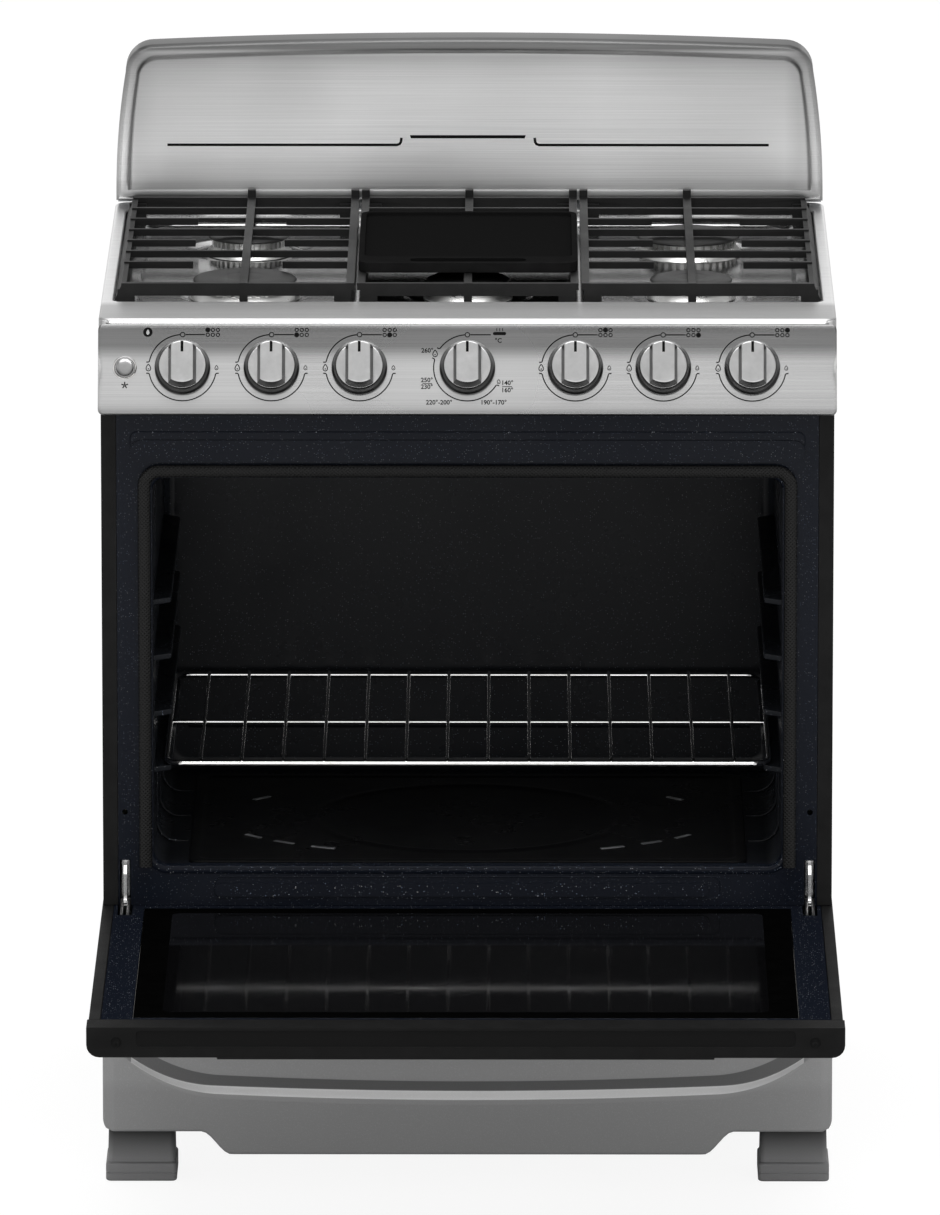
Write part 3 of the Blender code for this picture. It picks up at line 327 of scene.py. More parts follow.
# %% [markdown]
# Range enamel is fired dark with pale specks scattered through it. Each cell of a Voronoi pattern holds one
# round dot, and the cell's own random value decides whether the dot is there and how bright it is.

# %% White specks
def make_white_specks():
    dials = {"Scale": 480.0, "Size": 0.20, "Share": 0.36}
    tree, start, end = new_effect("white specks", dials, ("Specks", "Tint"))
    place = add_node(tree, "TexCoord").outputs["Object"]
    cells = add_node(tree, "TexVoronoi", {"Vector": place, "Scale": start.outputs["Scale"]})
    chance = add_node(tree, "SeparateColor", {"Color": cells.outputs["Color"]})
    dot = calc(tree, "LESS_THAN", cells.outputs["Distance"], start.outputs["Size"])
    there = calc(tree, "LESS_THAN", chance.outputs["Red"], start.outputs["Share"])
    bright = ramp(tree, calc(tree, "POWER", chance.outputs["Green"], 3.0), 0.0, 1.0, 0.12, 1.0)
    specks = calc(tree, "MULTIPLY", calc(tree, "MULTIPLY", dot, there), bright)
    tree.links.new(specks, end.inputs["Specks"])
    tree.links.new(chance.outputs["Blue"], end.inputs["Tint"])
    return tree


WHITE_SPECKS = make_white_specks()
print("white specks:", [socket.name for socket in WHITE_SPECKS.interface.items_tree])

# %% [markdown]
# Paint, enamel and moulded plastic all have a fine unevenness, and hands leave faint smudges that only
# change how sharp a reflection is. Both come from noise at two very different sizes.

# %% Orange peel and smudges
def make_uneven_coat():
    tree, start, end = new_effect(
        "uneven coat", {"Peel Scale": 500.0, "Smudge Scale": 7.0}, ("Peel", "Smudge")
    )
    place = add_node(tree, "TexCoord").outputs["Object"]
    peel = add_node(tree, "TexNoise", {"Vector": place, "Scale": start.outputs["Peel Scale"], "Detail": 2.0})
    smudge = add_node(
        tree, "TexNoise",
        {"Vector": place, "Scale": start.outputs["Smudge Scale"], "Detail": 5.0, "Roughness": 0.6}
    )
    tree.links.new(peel.outputs["Fac"], end.inputs["Peel"])
    tree.links.new(ramp(tree, smudge.outputs["Fac"], 0.35, 0.7), end.inputs["Smudge"])
    return tree


UNEVEN_COAT = make_uneven_coat()
print("uneven coat:", [socket.name for socket in UNEVEN_COAT.interface.items_tree])

# %% [markdown]
# Edges are touched and wiped more than flat faces, so they turn a little paler. The mesh's own convexity
# gives the mask, broken up by noise so that it never reads as a drawn outline.

# %% Rubbed edges
def make_rubbed_edges():
    tree, start, end = new_effect("rubbed edges", {"Reach": 0.06, "Break": 60.0}, ("Edge",))
    bend = add_node(tree, "NewGeometry").outputs["Pointiness"]
    place = add_node(tree, "TexCoord").outputs["Object"]
    gaps = add_node(tree, "TexNoise", {"Vector": place, "Scale": start.outputs["Break"], "Detail": 3.0})
    high = calc(tree, "ADD", 0.5, start.outputs["Reach"])
    edge = ramp(tree, bend, 0.505, high)
    tree.links.new(
        calc(tree, "MULTIPLY", edge, ramp(tree, gaps.outputs["Fac"], 0.3, 0.7, 0.4, 1.0)),
        end.inputs["Edge"]
    )
    return tree


RUBBED_EDGES = make_rubbed_edges()
print("rubbed edges:", [socket.name for socket in RUBBED_EDGES.interface.items_tree])

# %% [markdown]
# ## Finishes
# Each finish is a function, because a material is a small recipe: a base colour, what varies it, how rough
# it is and what breaks up its surface. The helper below starts a material with its constants on the
# shader's own sockets, and the recipes then link in only what changes over the surface.

# %% Starting a material
def start_finish(name, colour, roughness, metallic=0.0, **constants):
    """A material with a Principled shader whose constants are set directly."""
    finish = bpy.data.materials.new(name)
    finish.use_nodes = True
    tree = finish.node_tree
    shader = tree.nodes["Principled BSDF"]
    shader.inputs["Base Color"].default_value = (*colour, 1.0)
    shader.inputs["Roughness"].default_value = roughness
    shader.inputs["Metallic"].default_value = metallic
    for key, value in constants.items():
        shader.inputs[key.replace("_", " ")].default_value = value
    return finish, tree, shader


def effect(tree, group, **dials):
    """A shared effect placed in a material with its own values."""
    node = tree.nodes.new("ShaderNodeGroup")
    node.node_tree = group
    for key, value in dials.items():
        node.inputs[key.replace("_", " ")].default_value = value
    return node


def tinted(tree, share, low, high):
    """A colour between two colours."""
    mix = add_node(tree, "Mix", data_type="RGBA")
    mix.inputs["A"].default_value = (0, 0, 0, 1)
    for key, colour in ((6, low), (7, high)):
        if isinstance(colour, bpy.types.NodeSocket):
            tree.links.new(colour, mix.inputs[key])
        else:
            mix.inputs[key].default_value = (*colour, 1.0)
    tree.links.new(share, mix.inputs[0])
    return mix.outputs[2]


def bumped(tree, shader, height, strength, distance=0.001):
    bump = add_node(tree, "Bump", {"Height": height, "Strength": strength, "Distance": distance})
    tree.links.new(bump.outputs["Normal"], shader.inputs["Normal"])


def toned(tree, shader, low, high, stops, axis="Z"):
    """Paints light and shade into the base colour: scales it by a factor that changes along one axis between
    two places.
    """
    place = add_node(tree, "TexCoord").outputs["Object"]
    along = add_node(tree, "SeparateXYZ", {"Vector": place}).outputs[axis]
    node = add_node(tree, "ValToRGB", {"Fac": ramp(tree, along, low, high)})
    while len(node.color_ramp.elements) < len(stops):
        node.color_ramp.elements.new(0.5)
    for element, (share, level) in zip(node.color_ramp.elements, stops):
        element.position = share
        element.color = (level, level, level, 1.0)
    base = shader.inputs["Base Color"].links[0].from_socket
    scaled = add_node(tree, "VectorMath", {0: base, 1: node.outputs["Color"]}, operation="MULTIPLY")
    tree.links.new(scaled.outputs[0], shader.inputs["Base Color"])


print("finish helpers are ready")

# %% [markdown]
# Brushed steel is a mirror that has been scratched along one direction. The grain lines change both tone
# and roughness a little, and the clouds are what keeps a long flat panel from looking like card.

# %% Brushed steel
def brushed_steel(name, tone=0.62, roughness=0.30, along=3.0, across=900.0, depth=0.04, heights=()):
    finish, tree, shader = start_finish(name, (tone, tone, tone * 0.99), roughness, 1.0)
    grain = effect(tree, LONG_GRAIN, Along=along, Across=across)
    light = (min(1.0, tone * 1.07),) * 3
    dark = (tone * 0.90,) * 3
    lines = ramp(tree, grain.outputs["Lines"], 0.3, 0.7)
    tree.links.new(tinted(tree, lines, dark, light), shader.inputs["Base Color"])
    rough = ramp(tree, grain.outputs["Cloud"], 0.3, 0.7, roughness * 0.85, roughness * 1.15)
    tree.links.new(rough, shader.inputs["Roughness"])
    bumped(tree, shader, grain.outputs["Lines"], depth)
    # heights paints light and shade into the colour along one axis
    if heights:
        toned(tree, shader, *heights)
    return finish


STEEL = brushed_steel("brushed steel", 0.64, 0.24)
# Painted reflection and shade on the flat panel face: dark along the top edge under the cooktop, bright
# across the middle, dark again at the rolled foot.
PANEL_PAINTED_REFLECTION = (
    (0.0, 0.15), (0.05, 0.45), (0.10, 0.78), (0.15, 0.90), (0.27, 1.0), (0.56, 0.98), (0.62, 0.90),
    (0.70, 0.58), (0.76, 0.39), (1.0, 0.36)
)
PANEL_STEEL = brushed_steel("control panel steel with painted reflection", 0.66, 0.26, heights=(0.821, 0.910, PANEL_PAINTED_REFLECTION))
# Painted reflection and shade on the splash guard: brightest low in the field, darker upwards, dark along the
# top border, and darker towards both ends.
GUARD_PAINTED_REFLECTION = (
    (0.0, 0.60), (
        0.108, 0.80
    ), (0.143, 0.96), (0.213, 1.0), (0.318, 1.0), (0.423, 0.87), (0.563, 0.73), (0.703, 0.62),
    (0.808, 0.50), (0.878, 0.37), (0.918, 0.42), (0.936, 0.17), (1.0, 0.16),
)
GUARD_PAINTED_END_SHADE = (
    (0.0, 0.72), (0.03, 0.60), (0.06, 0.73), (0.10, 0.81), (0.16, 0.91), (0.32, 1.0), (0.68, 1.0),
    (0.84, 0.86), (0.945, 0.78), (0.965, 0.62), (1.0, 0.60),
)
GUARD_STEEL = brushed_steel("splash guard steel with painted reflection", 0.94, 0.40, 3.0, 800.0, 0.03, (0.923, 1.100, GUARD_PAINTED_REFLECTION))
toned(GUARD_STEEL.node_tree, GUARD_STEEL.node_tree.nodes["Principled BSDF"], -0.378, 0.378, GUARD_PAINTED_END_SHADE, "X")
# Painted shade and reflection on the cooktop steel: darker in the sunk recess round the burners, and darker
# across the flat front strip, where it would mirror the dark grates.
WELL_PAINTED_SHADE = ((0.0, 0.50), (0.35, 0.52), (0.52, 0.85), (0.62, 1.0), (1.0, 1.0))
RIM_PAINTED_REFLECTION = ((0.0, 1.0), (0.025, 1.0), (0.05, 0.55), (0.70, 0.60), (0.92, 1.0))
PRESSED_STEEL = brushed_steel(
    "pressed cooktop steel with painted shade", 0.90, 0.15, 3.0, 700.0, 0.015, (0.895, 0.915, WELL_PAINTED_SHADE)
)
toned(
    PRESSED_STEEL.node_tree, PRESSED_STEEL.node_tree.nodes["Principled BSDF"], -0.066, 0.034, RIM_PAINTED_REFLECTION,
    "Y"
)
KNOB_STEEL = brushed_steel("satin knob metal", 0.56, 0.30, 60.0, 60.0, 0.02)
# A slightly darker copy of the knob metal for skirt and grip walls, as painted shade.
SHADED_SKIRT_STEEL = brushed_steel("knob metal with painted shade", 0.50, 0.26, 60.0, 60.0, 0.02)


def shade_by_facing(finish, axis, low, high, first, last):
    """Paints light and shade into a finish's base colour by which way its surface faces along one axis."""
    tree = finish.node_tree
    shader = tree.nodes["Principled BSDF"]
    facing = add_node(
        tree, "SeparateXYZ", {"Vector": add_node(tree, "NewGeometry").outputs["Normal"]}
    ).outputs[axis]
    if axis == "X":
        facing = calc(tree, "ABSOLUTE", facing)
    factor = ramp(tree, facing, low, high, first, last)
    base = shader.inputs["Base Color"].links[0].from_socket
    scaled = add_node(tree, "VectorMath", {0: base, "Scale": factor}, operation="SCALE")
    tree.links.new(scaled.outputs[0], shader.inputs["Base Color"])


# Painted shade: skirt and grip walls darken to under a tenth of their tone as they turn to face down.
shade_by_facing(SHADED_SKIRT_STEEL, "Z", 0.15, 0.85, 0.07, 1.0)
# Painted shade: the button's sides darken to a quarter of their tone as they turn from facing up.
SHADED_BUTTON_STEEL = brushed_steel("button metal with painted shade", 0.55, 0.30, 60.0, 60.0, 0.02)
shade_by_facing(SHADED_BUTTON_STEEL, "Z", 0.05, 0.60, 0.25, 1.0)
HINGE_STEEL = brushed_steel("hinge steel", 0.50, 0.25, 40.0, 200.0, 0.05)
print("steels:", STEEL.name, GUARD_STEEL.name, PRESSED_STEEL.name, KNOB_STEEL.name, HINGE_STEEL.name)

# %% [markdown]
# Speckled enamel is a glass coat on steel: near black with a blue cast, pale specks, a faint orange peel
# from firing and a clear reflection. The specular level is kept low, because the coat in an oven mouth
# mirrors mostly dark surroundings.

# %% Speckled and plain enamel
def speckled_enamel(name, colour=(0.0052, 0.0068, 0.0115), share=0.50, specular=0.08, bright=1.7):
    finish, tree, shader = start_finish(name, colour, 0.30, Specular_IOR_Level=specular)
    specks = effect(tree, WHITE_SPECKS, Share=share)
    coat = effect(tree, UNEVEN_COAT, Peel_Scale=260.0)
    pale, blue = (0.42 * bright,) * 3, (0.16 * bright, 0.21 * bright, 0.32 * bright)
    speck_colour = tinted(tree, specks.outputs["Tint"], blue, pale)
    tree.links.new(tinted(tree, specks.outputs["Specks"], colour, speck_colour), shader.inputs["Base Color"])
    tree.links.new(ramp(tree, coat.outputs["Smudge"], 0.0, 1.0, 0.22, 0.38), shader.inputs["Roughness"])
    bumped(tree, shader, coat.outputs["Peel"], 0.06)
    return finish


def coated(name, colour, roughness, specular, peel=400.0, depth=0.06, wear=0.5, pale=2.2):
    """A plain coat or moulded surface: peel, smudges and slightly paler edges."""
    finish, tree, shader = start_finish(name, colour, roughness, Specular_IOR_Level=specular)
    coat = effect(tree, UNEVEN_COAT, Peel_Scale=peel)
    edge = effect(tree, RUBBED_EDGES)
    worn = tuple(min(1.0, part * pale + 0.004) for part in colour)
    shade = tinted(tree, calc(tree, "MULTIPLY", edge.outputs["Edge"], wear), colour, worn)
    tree.links.new(shade, shader.inputs["Base Color"])
    tree.links.new(
        ramp(tree, coat.outputs["Smudge"], 0.0, 1.0, roughness * 0.85, roughness * 1.15),
        shader.inputs["Roughness"]
    )
    bumped(tree, shader, coat.outputs["Peel"], depth)
    return finish


SPECKLED = speckled_enamel("speckled enamel")
OVEN_ENAMEL_LIT_SIDES = speckled_enamel("oven enamel with painted side light", (0.0070, 0.0078, 0.0095), 0.30, 0.10, 0.8)
# Painted light: surfaces facing sideways, such as the oven's side walls, are up to 2.4 times paler.
shade_by_facing(OVEN_ENAMEL_LIT_SIDES, "X", 0.3, 0.9, 1.0, 2.4)
DOOR_ENAMEL = speckled_enamel("door enamel", (0.0068, 0.0085, 0.0135), 0.50, 0.0, 1.2)
BLACK_ENAMEL = coated("black enamel", (0.0022, 0.0022, 0.0025), 0.30, 0.10, 250.0, 0.05)
CAP_ENAMEL = coated("burner cap enamel", (0.006, 0.006, 0.006), 0.42, 0.30, 900.0, 0.12)
CAST_IRON = coated("enamelled cast iron", (0.0065, 0.0065, 0.0065), 0.48, 0.18, 1100.0, 0.25)
GRIDDLE_COAT = coated("griddle coat", (0.0080, 0.0080, 0.0080), 0.90, 0.0, 1400.0, 0.30)
BLACK_STEEL = coated("black painted steel", (0.0060, 0.0060, 0.0060), 0.50, 0.06, 600.0, 0.10)
TRIM_PLASTIC = coated("black moulded plastic", (0.0068, 0.0068, 0.0068), 0.55, 0.04, 1500.0, 0.16)
print("coats:", SPECKLED.name, BLACK_ENAMEL.name, CAST_IRON.name, BLACK_STEEL.name, TRIM_PLASTIC.name)

# %% [markdown]
# The drawer front is painted a warm silver grey. The paint holds fine aluminium flake, so it is given a
# small metallic share and a speckle that only shows close up. The feet are the same grey in moulded
# plastic.

# %% Grey paint and grey plastic
def silver_paint(name, colour, roughness, metallic, flake, heights=()):
    finish, tree, shader = start_finish(name, colour, roughness, metallic, Specular_IOR_Level=0.35)
    coat = effect(tree, UNEVEN_COAT, Peel_Scale=420.0, Smudge_Scale=5.0)
    specks = effect(tree, WHITE_SPECKS, Scale=1400.0, Size=0.45, Share=0.5)
    bright = tuple(part * flake for part in colour)
    tree.links.new(tinted(tree, specks.outputs["Specks"], colour, bright), shader.inputs["Base Color"])
    tree.links.new(
        ramp(tree, coat.outputs["Smudge"], 0.0, 1.0, roughness * 0.9, roughness * 1.12),
        shader.inputs["Roughness"]
    )
    bumped(tree, shader, coat.outputs["Peel"], 0.05)
    # heights paints light and shade into the colour along one axis
    if heights:
        toned(tree, shader, *heights)
    return finish


# Painted shade: each foot darkens towards its top, under the drawer, to a tenth of its tone.
FOOT_PAINTED_SHADE = ((0.0, 0.95), (0.36, 0.95), (0.46, 1.0), (0.66, 0.72), (0.84, 0.40), (1.0, 0.10))
# Painted light: the drawer paint is lifted above the channel, where the open door's shadow falls, and stays
# darker below it.
GREY_PAINT = silver_paint(
    "grey drawer paint with painted light", (0.290, 0.290, 0.291), 0.42, 0.15, 1.25,
    (0.092, 0.122, ((0.0, 0.88), (0.30, 0.88), (0.75, 1.0)))
)
# Painted highlight for the channel's lower flank and painted shade for its upper flank.
CHANNEL_PAINTED_HIGHLIGHT = silver_paint("channel painted highlight", (0.66, 0.66, 0.66), 0.35, 0.15, 1.15)
CHANNEL_PAINTED_SHADE = silver_paint("channel painted shade", (0.125, 0.125, 0.126), 0.45, 0.10, 1.2)
GREY_PLASTIC = silver_paint(
    "grey moulded plastic with painted shade", (0.195, 0.195, 0.197), 0.50, 0.0, 1.1, (0.0, 0.052, FOOT_PAINTED_SHADE)
)
print("greys:", GREY_PAINT.name, CHANNEL_PAINTED_HIGHLIGHT.name, GREY_PLASTIC.name)

# %% [markdown]
# The hidden sheet metal is galvanised, and zinc freezes into large angular crystals that each catch the
# light differently. Burner heads are cast aluminium, pale and slightly grainy. The rack is chromed wire.

# %% Zinc, cast aluminium and chrome
def galvanised():
    finish, tree, shader = start_finish("galvanised steel", (0.52, 0.53, 0.54), 0.45, 0.9)
    place = add_node(tree, "TexCoord").outputs["Object"]
    crystals = add_node(tree, "TexVoronoi", {"Vector": place, "Scale": 70.0, "Randomness": 1.0})
    tone = add_node(tree, "SeparateColor", {"Color": crystals.outputs["Color"]})
    tree.links.new(
        tinted(tree, tone.outputs["Red"], (0.42, 0.43, 0.45), (0.62, 0.63, 0.64)),
        shader.inputs["Base Color"]
    )
    tree.links.new(ramp(tree, tone.outputs["Green"], 0.0, 1.0, 0.36, 0.58), shader.inputs["Roughness"])
    coat = effect(tree, UNEVEN_COAT, Peel_Scale=150.0)
    bumped(tree, shader, coat.outputs["Peel"], 0.05)
    return finish


def cast_aluminium():
    finish, tree, shader = start_finish("cast aluminium", (0.66, 0.66, 0.65), 0.32, 1.0)
    coat = effect(tree, UNEVEN_COAT, Peel_Scale=900.0, Smudge_Scale=40.0)
    edge = effect(tree, RUBBED_EDGES)
    tree.links.new(
        tinted(tree, edge.outputs["Edge"], (0.60, 0.60, 0.59), (0.86, 0.86, 0.85)),
        shader.inputs["Base Color"]
    )
    tree.links.new(ramp(tree, coat.outputs["Smudge"], 0.0, 1.0, 0.26, 0.42), shader.inputs["Roughness"])
    bumped(tree, shader, coat.outputs["Peel"], 0.15)
    return finish


def chromed_wire():
    finish, tree, shader = start_finish("chromed wire", (0.78, 0.78, 0.79), 0.10, 1.0)
    coat = effect(tree, UNEVEN_COAT, Peel_Scale=300.0, Smudge_Scale=25.0)
    tree.links.new(
        tinted(tree, coat.outputs["Smudge"], (0.80, 0.80, 0.81), (0.66, 0.65, 0.63)),
        shader.inputs["Base Color"]
    )
    tree.links.new(ramp(tree, coat.outputs["Smudge"], 0.0, 1.0, 0.07, 0.18), shader.inputs["Roughness"])
    bumped(tree, shader, coat.outputs["Peel"], 0.03)
    return finish


GALVANISED = galvanised()
ALUMINIUM = cast_aluminium()
CHROME = chromed_wire()
print("bare metals:", GALVANISED.name, ALUMINIUM.name, CHROME.name)

# %% [markdown]
# The oven door has two panes. The inner one is clear dark glass with a printed black border, fired on like
# enamel, so glass keeps a plain transmission and the border is its own matt coat. The seal is woven
# fibreglass sleeving, and the jacket round the oven is mineral wool.

# %% Glass, printed border, seal and wool
def dark_glass(name, colour, roughness):
    finish, tree, shader = start_finish(
        name, colour, roughness, 0.0, IOR=1.5, Transmission_Weight=0.85, Specular_IOR_Level=0.06
    )
    coat = effect(tree, UNEVEN_COAT, Peel_Scale=30.0, Smudge_Scale=9.0)
    tree.links.new(
        ramp(tree, coat.outputs["Smudge"], 0.0, 1.0, roughness * 0.8, roughness * 1.5),
        shader.inputs["Roughness"]
    )
    bumped(tree, shader, coat.outputs["Peel"], 0.004)
    return finish


def woven_sleeve():
    finish, tree, shader = start_finish("woven seal", (0.008, 0.008, 0.008), 0.42, Specular_IOR_Level=0.16)
    place = add_node(tree, "TexCoord").outputs["Object"]
    sets = []
    for name, turn in (("left", 45), ("right", -45)):
        turned_place = add_node(
            tree, "VectorRotate", {"Vector": place, "Axis": (0, 1, 0), "Angle": radians(turn)}
        )
        bands = add_node(
            tree, "TexWave",
            {"Vector": turned_place.outputs[0], "Scale": 110.0, "Distortion": 1.0, "Detail": 1.0}
        )
        bands.label = name + " strands"
        sets.append(bands.outputs["Fac"])
    weave = calc(tree, "MAXIMUM", *sets)
    tree.links.new(
        tinted(tree, weave, (0.003, 0.003, 0.003), (0.012, 0.012, 0.012)), shader.inputs["Base Color"]
    )
    bumped(tree, shader, weave, 0.6)
    return finish


def mineral_wool():
    finish, tree, shader = start_finish("mineral wool", (0.60, 0.56, 0.42), 0.95, Specular_IOR_Level=0.1)
    tuft = effect(tree, UNEVEN_COAT, Peel_Scale=180.0, Smudge_Scale=30.0)
    grain = effect(tree, LONG_GRAIN, Along=60.0, Across=260.0)
    tree.links.new(
        tinted(tree, tuft.outputs["Smudge"], (0.48, 0.43, 0.30), (0.72, 0.68, 0.54)),
        shader.inputs["Base Color"]
    )
    bumped(tree, shader, grain.outputs["Lines"], 0.8, 0.004)
    return finish


INNER_GLASS = dark_glass("inner door glass", (0.018, 0.018, 0.020), 0.05)
OUTER_GLASS = coated("outer door glass", (0.0015, 0.0015, 0.002), 0.06, 0.4, 20.0, 0.003)
FRIT = coated("printed glass border", (0.0006, 0.0006, 0.0006), 0.40, 0.0, 700.0, 0.02, 0.2)
SEAL = woven_sleeve()
WOOL = mineral_wool()
INK = coated("printed ink", (0.005, 0.005, 0.005), 0.60, 0.04, 900.0, 0.02, 0.1)
print("others:", INNER_GLASS.name, OUTER_GLASS.name, SEAL.name, WOOL.name, INK.name)

# %% [markdown]
# ## The splash guard behind the cooktop
# The guard is one pressed sheet: sides that lean in towards a slightly arched top, a rounded border, then a
# step down to a flat field. A loft through ever smaller outlines gives the border its real cross-section,
# because each ring is simply the same outline, a few millimetres further in and a little deeper.

# %% Splash guard
guard_low, guard_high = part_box("backguard")
GUARD_TAPER = 0.018
GUARD_ARCH = 0.0075
GUARD_CORNER = 0.030


def guard_outline(inset, floor):
    """The guard from the front, inset by a distance, with its lower edge at a height."""
    height = guard_high.z - guard_low.z
    shoulder = guard_high.z - inset - GUARD_ARCH

    def half_at(level):
        return guard_high.x - inset - GUARD_TAPER * max(0.0, (level - guard_low.z) / height) ** 2.2

    corner = max(0.006, GUARD_CORNER - inset * 0.6)
    rise = shoulder - corner - floor
    right = [(half_at(floor + rise * step / 12), floor + rise * step / 12) for step in range(13)]
    centre = (right[-1][0] - corner, shoulder - corner)
    right += arc(centre, corner, 8, 88, 10)
    edge = right[-1][0]
    right += [
        (edge * (1 - step / 12), shoulder + GUARD_ARCH * (1 - (1 - step / 12) ** 2)) for step in range(1, 12)
    ]
    return right + [(0, shoulder + GUARD_ARCH)] + [(-x, z) for x, z in reversed(right)]


def guard_ring(inset, depth):
    low = guard_low.z + min(inset, 0.012)
    return [(x, guard_low.y + depth, z) for x, z in guard_outline(inset, low)]


guard_steps = [
    (0.0008, guard_high.y - guard_low.y), (0.0, guard_high.y - guard_low.y - 0.001), (0.0, 0.0062),
    (0.0006, 0.0038), (0.0018, 0.0018), (0.0036, 0.0005), (0.0060, 0.0), (0.0105, 0.0),
    (0.0122, 0.0002), (0.0134, 0.0008), (0.0142, 0.0016), (0.0152, 0.0022), (0.0170, 0.0024),
]
guard = as_object(loft([guard_ring(*step) for step in guard_steps]), "splash_guard")
finished(guard, GUARD_STEEL, "cabinet", ["backguard"], 50)
print("splash guard:", len(guard.data.polygons), "faces")

# %% [markdown]
# Three grooves cross the lower field. The outer two end in a small upturned hook, and the middle
# one is a thicker bar that sits a little higher. The shade inside each groove is painted as a thin raised
# strip of dark ink, swept along a path of a few points.

# %% Grooves, painted as shade
FIELD_Y = guard_low.y + 0.0024
LINE_Z = guard_low.z + 0.0610


def strip(path, width, thickness, place):
    """A flat strip of even width along a path of (a, b) points."""
    points = [Vector(point) for point in path]
    left, right = [], []
    for index, point in enumerate(points):
        before = points[max(index - 1, 0)]
        after = points[min(index + 1, len(points) - 1)]
        along = (after - before).normalized()
        side = Vector((-along.y, along.x)) * width / 2
        left.append(point + side)
        right.append(point - side)
    outline = [tuple(point) for point in left + right[::-1]]
    return slab(outline, (0.0, thickness), place)


FIELD = Matrix(((1, 0, 0, 0), (0, 0, -1, FIELD_Y + 0.0001), (0, 1, 0, LINE_Z), (0, 0, 0, 1)))
VENT_SHIFT = -0.0015
groove_shades = []
for side in (-1, 1):
    hook = [
        (VENT_SHIFT + side * x, z)
        for x, z in ((0.3215, 0.0), (0.076, 0.0), (0.0732, 0.0010), (0.0718, 0.0032), (0.0712, 0.0078))
    ]
    groove_shades.append(as_object(strip(hook, 0.0028, 0.0005, FIELD), f"vent_{side}"))
bar = [(-0.0625, 0.0072), (0.0590, 0.0072), (0.0602, 0.0106), (-0.0637, 0.0106)]
groove_shades.append(as_object(slab(bar, (0.0, 0.0005), FIELD), "vent_middle"))
# Dark ink strips stand for the painted shade inside the grooves.
groove_shade_lines = finished(joined(groove_shades, "splash_guard_groove_shade"), INK, "cabinet")
print("groove shade lines:", len(groove_shade_lines.data.polygons), "faces")

# %% [markdown]
# ## The cooktop
# The top is drawn from one sheet as well: a skirt, a rolled outer edge, a flat rim and a sunk well. Every
# ring is a rounded rectangle. Six shallow bowls are then cut into the well, one round each burner, with a
# turned cutter whose shoulders are already rounded, so that the cut needs no bevel.

# %% Cooktop pan
top_low, top_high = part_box("cooktop")
grate_box = [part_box(f"grate_{side}") for side in ("left", "center", "right")]
WELL_Z = grate_box[0][0].z - 0.0003
WELL_X = (grate_box[0][0].x - 0.0005, grate_box[2][1].x + 0.0005)
WELL_AHEAD = 0.0220
WELL_Y = (grate_box[0][0].y - WELL_AHEAD, grate_box[0][1].y + 0.0010)
RECESS_INSET = 0.0210
RECESS_DEPTH = 0.0030
ROLL = 0.0030
WELL_EDGE_ROLL = 0.0022


def top_ring(inset, height, radius=0.014):
    across = (top_low.x + inset, top_high.x - inset)
    along = (top_low.y + inset, top_high.y - inset)
    return [(x, y, height) for x, y in rounded(across, along, radius)]


def well_ring(inset, height, radius=0.010, front=0.0):
    x = (WELL_X[0] + inset, WELL_X[1] - inset)
    y = (WELL_Y[0] + inset + front, WELL_Y[1] - inset)
    return [(a, b, height) for a, b in rounded(x, y, radius)]


top_rings = [top_ring(0.0, top_low.z), top_ring(0.0, top_high.z - ROLL)]
for turn in (18, 36, 54, 72, 90):
    top_rings.append(top_ring(ROLL * (1 - cos(radians(turn))), top_high.z - ROLL * (1 - sin(radians(turn)))))
for turn in (90, 60, 30, 0):
    top_rings.append(
        well_ring(
            -WELL_EDGE_ROLL * (1 - sin(radians(90 - turn))),
            top_high.z - WELL_EDGE_ROLL * (1 - cos(radians(90 - turn)))
        )
    )
top_rings += [
    well_ring(0.0005, WELL_Z + 0.0030), well_ring(0.0012, WELL_Z + 0.0010), well_ring(0.0030, WELL_Z)
]
for step in range(7):
    share = step / 6
    sunk = RECESS_DEPTH * (3 - 2 * share) * share**2
    top_rings.append(well_ring(RECESS_INSET + 0.0090 * share, WELL_Z - sunk, 0.024, WELL_AHEAD - 0.0050))
pan = as_object(loft(top_rings), "cooktop_pan")
BURNERS = [
    name.removeprefix("burner_head_") for name in sorted(frame["nodes"]) if name.startswith("burner_head_")
]
BOWL_RADIUS = 0.066
BOWL_DEPTH = 0.0068
bowls = []
for burner in BURNERS:
    head_low, head_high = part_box("burner_head_" + burner)
    place = Matrix.Translation(((head_low.x + head_high.x) / 2, (head_low.y + head_high.y) / 2, WELL_Z))
    profile = [
        (BOWL_RADIUS + 0.0050, 0.004), (BOWL_RADIUS + 0.0050, 0.0002 - RECESS_DEPTH),
        (BOWL_RADIUS + 0.0030, -0.0002 - RECESS_DEPTH), (BOWL_RADIUS + 0.0012, -0.0007 - RECESS_DEPTH),
        (BOWL_RADIUS, -0.0015 - RECESS_DEPTH), (BOWL_RADIUS - 0.0050, -BOWL_DEPTH + 0.0006),
        (BOWL_RADIUS - 0.0070, -BOWL_DEPTH), (BOWL_RADIUS - 0.0130, -BOWL_DEPTH),
    ]
    bowls.append(as_object(turned(profile, 72, place), "bowl_" + burner))
carved(pan, bowls)
finished(pan, PRESSED_STEEL, "cabinet", ["cooktop"], 32)
sheet = PRESSED_STEEL.node_tree
level = add_node(sheet, "SeparateXYZ", {"Vector": add_node(sheet, "TexCoord").outputs["Object"]}).outputs["Z"]
satin = ramp(sheet, level, top_high.z - 0.0030, top_high.z - 0.0006, 0.15, 0.36)
sheet.links.new(satin, sheet.nodes["Principled BSDF"].inputs["Roughness"])
print("cooktop:", len(pan.data.polygons), "faces, with", len(bowls), "bowls")

